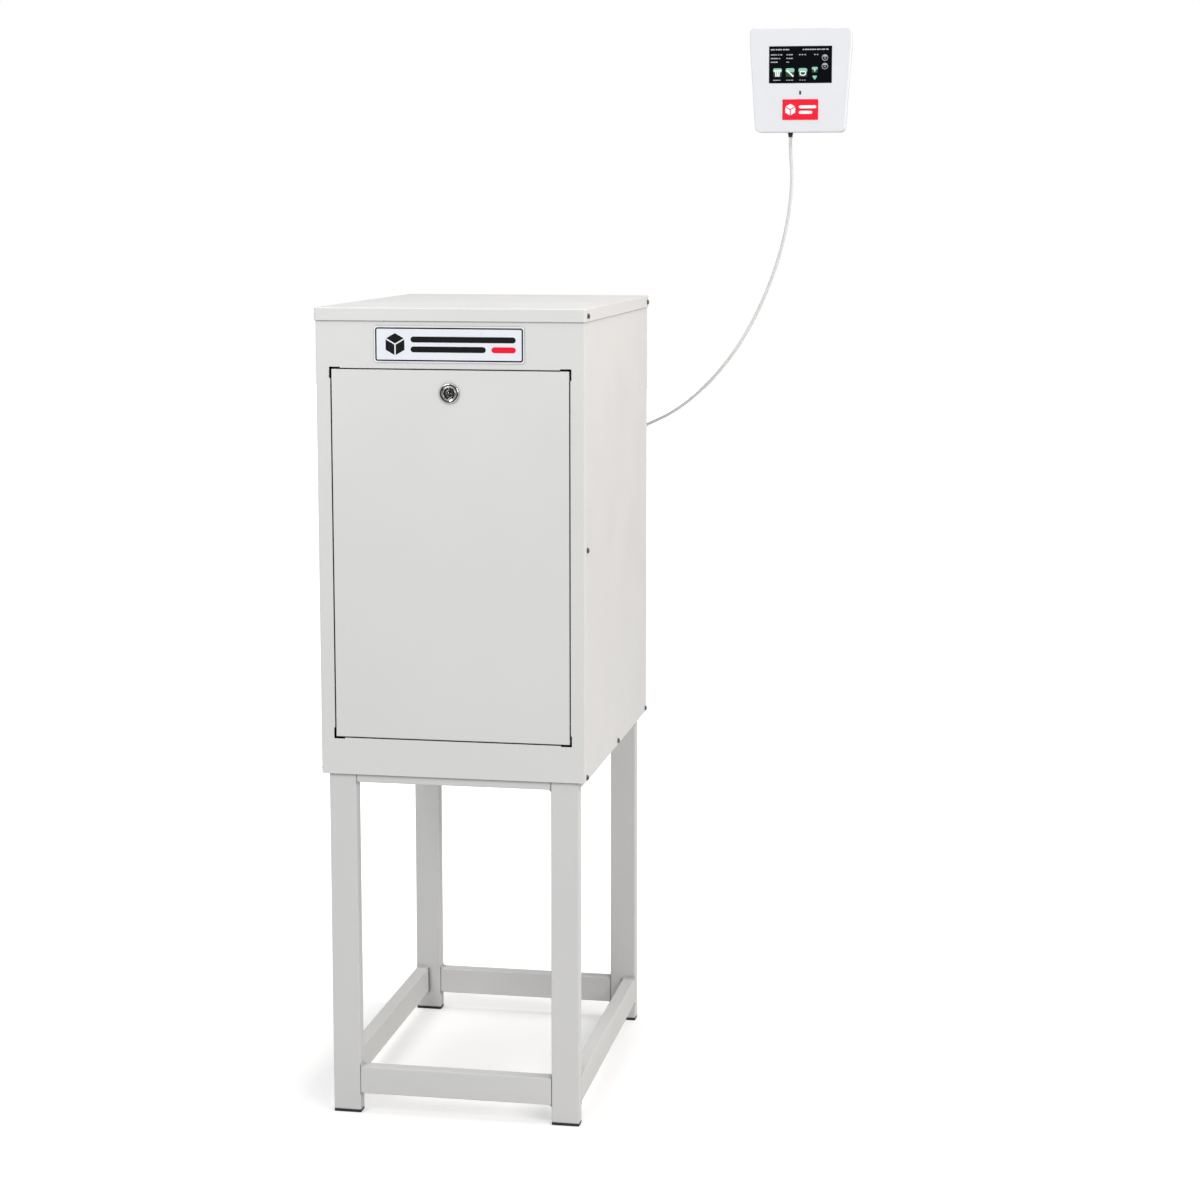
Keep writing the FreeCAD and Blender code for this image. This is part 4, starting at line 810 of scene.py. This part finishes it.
def parcel_sign(shape, x, z, reach, gap, back, front):
    """A parcel seen from its corner: three rhombic faces with a gap between them."""
    corners = []
    for i in range(6):
        angle = math.radians(90 + 60 * i)
        corners.append(Vector((x + reach * math.cos(angle), z + reach * math.sin(angle))))
    for i in (1, 3, 5):
        rhombus = [Vector((x, z)), corners[i], corners[(i + 1) % 6], corners[(i + 2) % 6]]
        centre = sum(rhombus, Vector((0, 0))) / 4
        share = 1 - gap / (reach / 2)
        face = [tuple(centre + (point - centre) * share) for point in rhombus]
        extrude(shape, face, back, front)


print("frames, bars and a parcel sign can be drawn, in ink", INK_BODY / MM, "mm proud")

# %% [markdown]
# The keyline runs just inside the plate's edge. Two black bars of unequal length stand for two
# lines of text, and a short red bar ends the second. Half of the ink's thickness is sunk into
# the plate, so no gap shows at its edge. The red bar has a finish of its own, so it becomes a
# piece of its own.

# %% Print the plate
plate_low, plate_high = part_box("label_plate")
plate = (plate_low + plate_high) / 2
ink_back = plate_low.y + INK_BODY
ink_front = plate_low.y - INK_BODY
KEYLINE = 0.0020
KEYLINE_INSET = 0.0018
print_shape = bmesh.new()
frame_line(print_shape, plate.x, plate.z, plate_high.x - plate_low.x - 2 * KEYLINE_INSET,
           plate_high.z - plate_low.z - 2 * KEYLINE_INSET, 0.0035, KEYLINE, ink_back, ink_front)
parcel_sign(print_shape, plate.x - 0.076, plate.z, 0.0165, 0.0011, ink_back, ink_front)
accent = bmesh.new()
BAR_RISE = 0.0068
BAR = 0.0082
BARS = ((print_shape, BAR_RISE, -0.050, 0.090), (print_shape, -BAR_RISE, -0.050, 0.048),
        (accent, -BAR_RISE, 0.064, 0.090))
for shape, rise, start, end in BARS:
    stroke(shape, (plate.x + start, plate.z + rise), (plate.x + end, plate.z + rise), BAR,
           ink_back, ink_front)
make_piece("plate_print", print_shape, ink_black, "cabinet")
make_piece("plate_accent", accent, label_red, "cabinet")

# %% [markdown]
# ## The picture on the screen
# A display is lit from inside, so its picture glows. Each mark is a thin raised shape on the
# glass with an emission of its own, rather than an image: short bars stand for words, four
# green tiles hold simple signs, a small shield sits under the last, and two round keys sit at
# the right. Places are shares of the screen's width and height, the way a screen designer
# would lay them out.

# %% Screen inks
def glowing(name, colour, glow):
    """A screen ink: a colour that also gives off a little light."""
    light = new_finish(name, colour, 0.35)
    mottle(light, 900, 0.05)
    shader_of(light).inputs["Emission Color"].default_value = (*colour, 1.0)
    shader_of(light).inputs["Emission Strength"].default_value = glow
    return light


screen_text = glowing("screen_text", (0.36, 0.37, 0.38), 0.25)
screen_white = glowing("screen_white", (0.66, 0.66, 0.65), 0.35)
screen_mint = glowing("screen_mint", (0.20, 0.46, 0.34), 0.25)
screen_green = glowing("screen_green", (0.010, 0.055, 0.018), 0.15)
screen_navy = glowing("screen_navy", (0.012, 0.014, 0.026), 0.12)
print("five screen inks are ready")

# %% [markdown]
# A word is a row of short bars, one for each letter, and their lengths vary a little as
# letters do. A tile is a dark green square with a paler band across its upper half. The
# screen's own box gives every place, so the picture would follow a screen of another size.

# %% Lay out the screen
screen_low, screen_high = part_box("touch_glass")
screen_wide = screen_high.x - screen_low.x
screen_tall = screen_high.z - screen_low.z
picture_back = screen_low.y + 0.00002
picture_front = screen_low.y - 0.00012


def on_screen(across, down):
    """A place on the screen from shares of its width and of its height from the top."""
    return screen_low.x + across * screen_wide, screen_high.z - down * screen_tall


LETTERS_ACROSS = 26
INK_SHARE = 0.64
WORDS = [
    (0.09, ((0.03, 0.34), (0.54, 0.95)), 0.0030),
    (0.23, ((0.03, 0.22), (0.28, 0.38), (0.48, 0.61), (0.72, 0.81)), 0.0024),
    (0.33, ((0.03, 0.20), (0.28, 0.38)), 0.0024),
    (0.43, ((0.03, 0.14), (0.28, 0.33)), 0.0024),
    (0.92, ((0.07, 0.20), (0.28, 0.39), (0.49, 0.60)), 0.0018),
]
words = bmesh.new()
for down, spans, tall in WORDS:
    for start, end in spans:
        count = max(2, round((end - start) * LETTERS_ACROSS))
        step = (end - start) / count
        for i in range(count):
            left = start + step * i
            right = left + step * (0.55 + 0.25 * math.sin(7 * left * count))
            stroke(words, on_screen(left, down), on_screen(right, down), tall * INK_SHARE,
                   picture_back, picture_front, 2)
make_piece("screen_words", words, screen_text, "cabinet")

tops = bmesh.new()
bases = bmesh.new()
signs = bmesh.new()
sign_back = picture_front + 0.00002
sign_front = picture_front - 0.00008
TILE = 0.0136
TILES = ((0.135, 0.715, 1.0), (0.335, 0.715, 1.0), (0.54, 0.715, 1.0), (0.73, 0.645, 0.66))
for across, down, share in TILES:
    x, z = on_screen(across, down)
    size = TILE * share
    extrude(bases, rounded_box(x, z, size * 0.94, size * 0.94, size * 0.1), picture_back, picture_front)
    extrude(tops, rounded_box(x, z + size * 0.26, size, size * 0.46, size * 0.18), picture_front,
            sign_back - 0.00005)
x, z = on_screen(0.73, 0.85)
shield = [(x + dx * MM, z + dz * MM) for dx, dz in ((-3.4, 2.6), (3.4, 2.6), (3.0, 0.4), (0, -3.8),
                                                   (-3.0, 0.4))]
extrude(tops, shield[::-1], picture_back, picture_front)
make_piece("screen_tile_bases", bases, screen_green, "cabinet")
make_piece("screen_tile_tops", tops, screen_mint, "cabinet")

# %% [markdown]
# The signs stand on the tiles, so they lie a hair further forward; faces at the same depth
# would flicker. Three leaning bars under a crossbar make a basket, one slanted bar a pen, a
# rounded frame a slot, and a short upright bar marks the small tile. Each round key is a dark
# cap under a thin ring.

# %% Draw the signs and the round keys
x, z = on_screen(0.135, 0.735)
for lean in (-1, 0, 1):
    stroke(signs, (x + lean * 0.0028, z + 0.0036), (x + lean * 0.0024, z - 0.0042), 0.0019,
           sign_back, sign_front)
stroke(signs, (x - 0.0046, z + 0.0040), (x + 0.0046, z + 0.0040), 0.0024, sign_back, sign_front)
x, z = on_screen(0.335, 0.73)
stroke(signs, (x - 0.0040, z + 0.0036), (x + 0.0044, z - 0.0046), 0.0024, sign_back, sign_front)
x, z = on_screen(0.54, 0.735)
frame_line(signs, x, z, 0.0104, 0.0076, 0.0038, 0.0017, sign_back, sign_front)
x, z = on_screen(0.73, 0.65)
stroke(signs, (x, z + 0.0016), (x, z - 0.0018), 0.0014, sign_back, sign_front)
make_piece("screen_signs", signs, screen_white, "cabinet")

rings = bmesh.new()
caps = bmesh.new()
KEY_SIZE = 0.0094
KEY_CORNER = KEY_SIZE * 0.45
KEY_RING = 0.0007
for down in (0.315, 0.545):
    x, z = on_screen(0.89, down)
    extrude(caps, rounded_box(x, z, KEY_SIZE, KEY_SIZE, KEY_CORNER), picture_back, picture_front)
    frame_line(rings, x, z, KEY_SIZE, KEY_SIZE, KEY_CORNER, KEY_RING, picture_front, sign_front)
    stroke(rings, (x - 0.0022, z + 0.0026), (x + 0.0022, z + 0.0026), 0.0022, picture_front, sign_front)
    stroke(rings, (x - 0.0010, z - 0.0006), (x + 0.0010, z - 0.0006), 0.0010, picture_front, sign_front)
make_piece("screen_key_caps", caps, screen_navy, "cabinet")
make_piece("screen_key_rings", rings, screen_text, "cabinet")

# %% [markdown]
# ## The red label
# Below the screen a red paper label carries white print. Here it shows a parcel and two
# bars, drawn with the same helpers as the plate's print, only smaller.

# %% Print the red label
red_low, red_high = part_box("panel_label")
red = (red_low + red_high) / 2
red_back = red_low.y + 0.00002
red_front = red_low.y - INK_BODY
red_shape = bmesh.new()
parcel_sign(red_shape, red.x - 0.0155, red.z, 0.0098, 0.0009, red_back, red_front)
for rise, end in ((0.0042, 0.0225), (-0.0042, 0.0165)):
    stroke(red_shape, (red.x, red.z + rise), (red.x + end, red.z + rise), 0.0046,
           red_back, red_front)
make_piece("red_label_print", red_shape, ink_white, "cabinet")

# %% [markdown]
# ## Inside the cabinet
# Behind the flap a mains supply, a breaker, a controller and a row of terminals sit on a
# rail. Such modules are told apart by their fronts. First come the clamp screws: two rows
# on each module's shoulders, and on the terminals one on each sloped side. A dark ring round
# each screw is painted shade, standing for the shade in its well. One loop serves the
# modules, and a second one, with tilted screws, the terminals, which also get a thin dark
# line of painted shade in the gap between neighbours.

# %% Clamp screws
SUNK = 0.0001
# Painted shade round each screw: a dark rounded ring on the modules, a dark turned ring on the
# terminals.
WELL_SHADE_WIDE = 0.0078
WELL_SHADE_CORNER = 0.0038
WELL_SHADE_LINE = 0.0012
WELL_SHADE_TALL = 0.0008
WELL_SHADE_RING = [(2.8, -0.3), (2.8, 0.15), (2.4, 0.15)]
SHOULDER = 0.009
CLAMP_INSET = 0.011
SCREW_HEAD = [(2.3, -0.4), (2.3, 0.25), (1.9, 0.6), (0.9, 0.7), (0.5, 0.45)]
clamps = bmesh.new()
shade_marks = bmesh.new()
for node, count in (("power_supply", 4), ("circuit_breaker", 1), ("controller", 6)):
    low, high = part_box(node)
    face = low.y + SHOULDER
    for i in range(count):
        x = low.x + (high.x - low.x) * (i + 0.5) / count
        for z in (low.z + CLAMP_INSET, high.z - CLAMP_INSET):
            turn(clamps, SCREW_HEAD, (x, face, z), (0, -1, 0), 20)
            frame_line(shade_marks, x, z, WELL_SHADE_WIDE, WELL_SHADE_WIDE, WELL_SHADE_CORNER, WELL_SHADE_LINE,
                       face + SUNK, face - WELL_SHADE_TALL)
row_low, row_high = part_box("terminal_row")
CLIPS = 8
SLOPE = 0.004
CLIP_END = 0.009
CLIP_GAP = 0.0005
for i in range(CLIPS):
    x = row_low.x + (row_high.x - row_low.x) * (i + 0.5) / CLIPS
    for z, up in ((row_low.z + SLOPE, -1), (row_high.z - SLOPE, 1)):
        turn(clamps, SCREW_HEAD, (x, row_low.y + SLOPE, z), (0, -1, up), 20)
        turn(shade_marks, WELL_SHADE_RING, (x, row_low.y + SLOPE, z), (0, -1, up), 20)
# Painted shade: a thin dark line in the gap between neighbouring terminals.
for i in range(1, CLIPS):
    x = row_low.x + (row_high.x - row_low.x) * i / CLIPS
    stroke(shade_marks, (x, row_low.z + CLIP_END), (x, row_high.z - CLIP_END), CLIP_GAP,
           row_low.y + SUNK, row_low.y - SUNK)
make_piece("clamp_screws", clamps, zinc, "cabinet")
make_piece("clamp_shade_marks", shade_marks, module_dark, "cabinet")

# %% [markdown]
# The fronts get what tells the modules apart: slots that let heat out, drawn as black strokes
# of painted shade rather than cut, a pale rating plate, which stays blank here, and small
# lights that show they are alive. All are shallow and sunk a tenth or two of a millimetre
# into the housing, so no gap opens under them.

# %% Vents, plates and lights
vent_shades = bmesh.new()
plates = bmesh.new()
lights = bmesh.new()
supply_low, supply_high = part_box("power_supply")
supply_x = (supply_low.x + supply_high.x) / 2
rail_z = (supply_low.z + supply_high.z) / 2
nose = supply_low.y
VENT_COUNT = 6
VENT_REACH = 0.018
VENT_DROP = 0.017
VENT_STEP = 0.0032
VENT_LINE = 0.0014
PLATE_BODY = 0.00015
PLATE_CORNER = 0.0012
LIGHT_ACROSS = 0.020
# The supply's slots are painted shade: black strokes on the housing.
for i in range(VENT_COUNT):
    z = rail_z - VENT_DROP + VENT_STEP * i
    stroke(vent_shades, (supply_x - VENT_REACH, z), (supply_x + VENT_REACH, z), VENT_LINE,
           nose + SUNK, nose - SUNK)
extrude(plates, rounded_box(supply_x - 0.004, rail_z + 0.011, 0.034, 0.014, PLATE_CORNER),
        nose + SUNK, nose - PLATE_BODY)
large_light = [(1.5, -0.2), (1.5, 0.5), (1.1, 0.9), (0.5, 1.05)]
turn(lights, large_light, (supply_x + LIGHT_ACROSS, nose, rail_z + 0.011), (0, -1, 0), 20)
box_low, box_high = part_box("controller")
box_x = (box_low.x + box_high.x) / 2
nose = box_low.y
extrude(plates, rounded_box(box_x - 0.012, rail_z + 0.010, 0.040, 0.018, PLATE_CORNER),
        nose + SUNK, nose - PLATE_BODY)
LIGHT_COUNT = 5
LIGHT_RISE = 0.017
LIGHT_STEP = 0.0045
small_light = [(1.0, -0.2), (1.0, 0.4), (0.5, 0.7)]
for i in range(LIGHT_COUNT):
    z = rail_z + LIGHT_RISE - LIGHT_STEP * i
    turn(lights, small_light, (box_x + LIGHT_ACROSS, nose, z), (0, -1, 0), 16)
frame_line(plates, box_x - 0.014, rail_z - 0.012, 0.017, 0.014, 0.001, 0.0012,
           nose + SUNK, nose - 0.0005)
SLOT_START = 0.004
SLOT_STEP = 0.0042
SLOT_FOOT = 0.018
SLOT_HEAD = 0.007
SLOT_LINE = 0.0016
# The controller's slots are painted shade: black strokes on the housing.
for i in range(VENT_COUNT):
    x = box_x + SLOT_START + SLOT_STEP * i
    stroke(vent_shades, (x, rail_z - SLOT_FOOT), (x, rail_z - SLOT_HEAD), SLOT_LINE,
           nose + SUNK, nose - SUNK)
make_piece("module_vent_shades", vent_shades, ink_black, "cabinet")
make_piece("rating_plates", plates, label_white, "cabinet")
make_piece("signal_lights", lights, screen_mint, "cabinet")
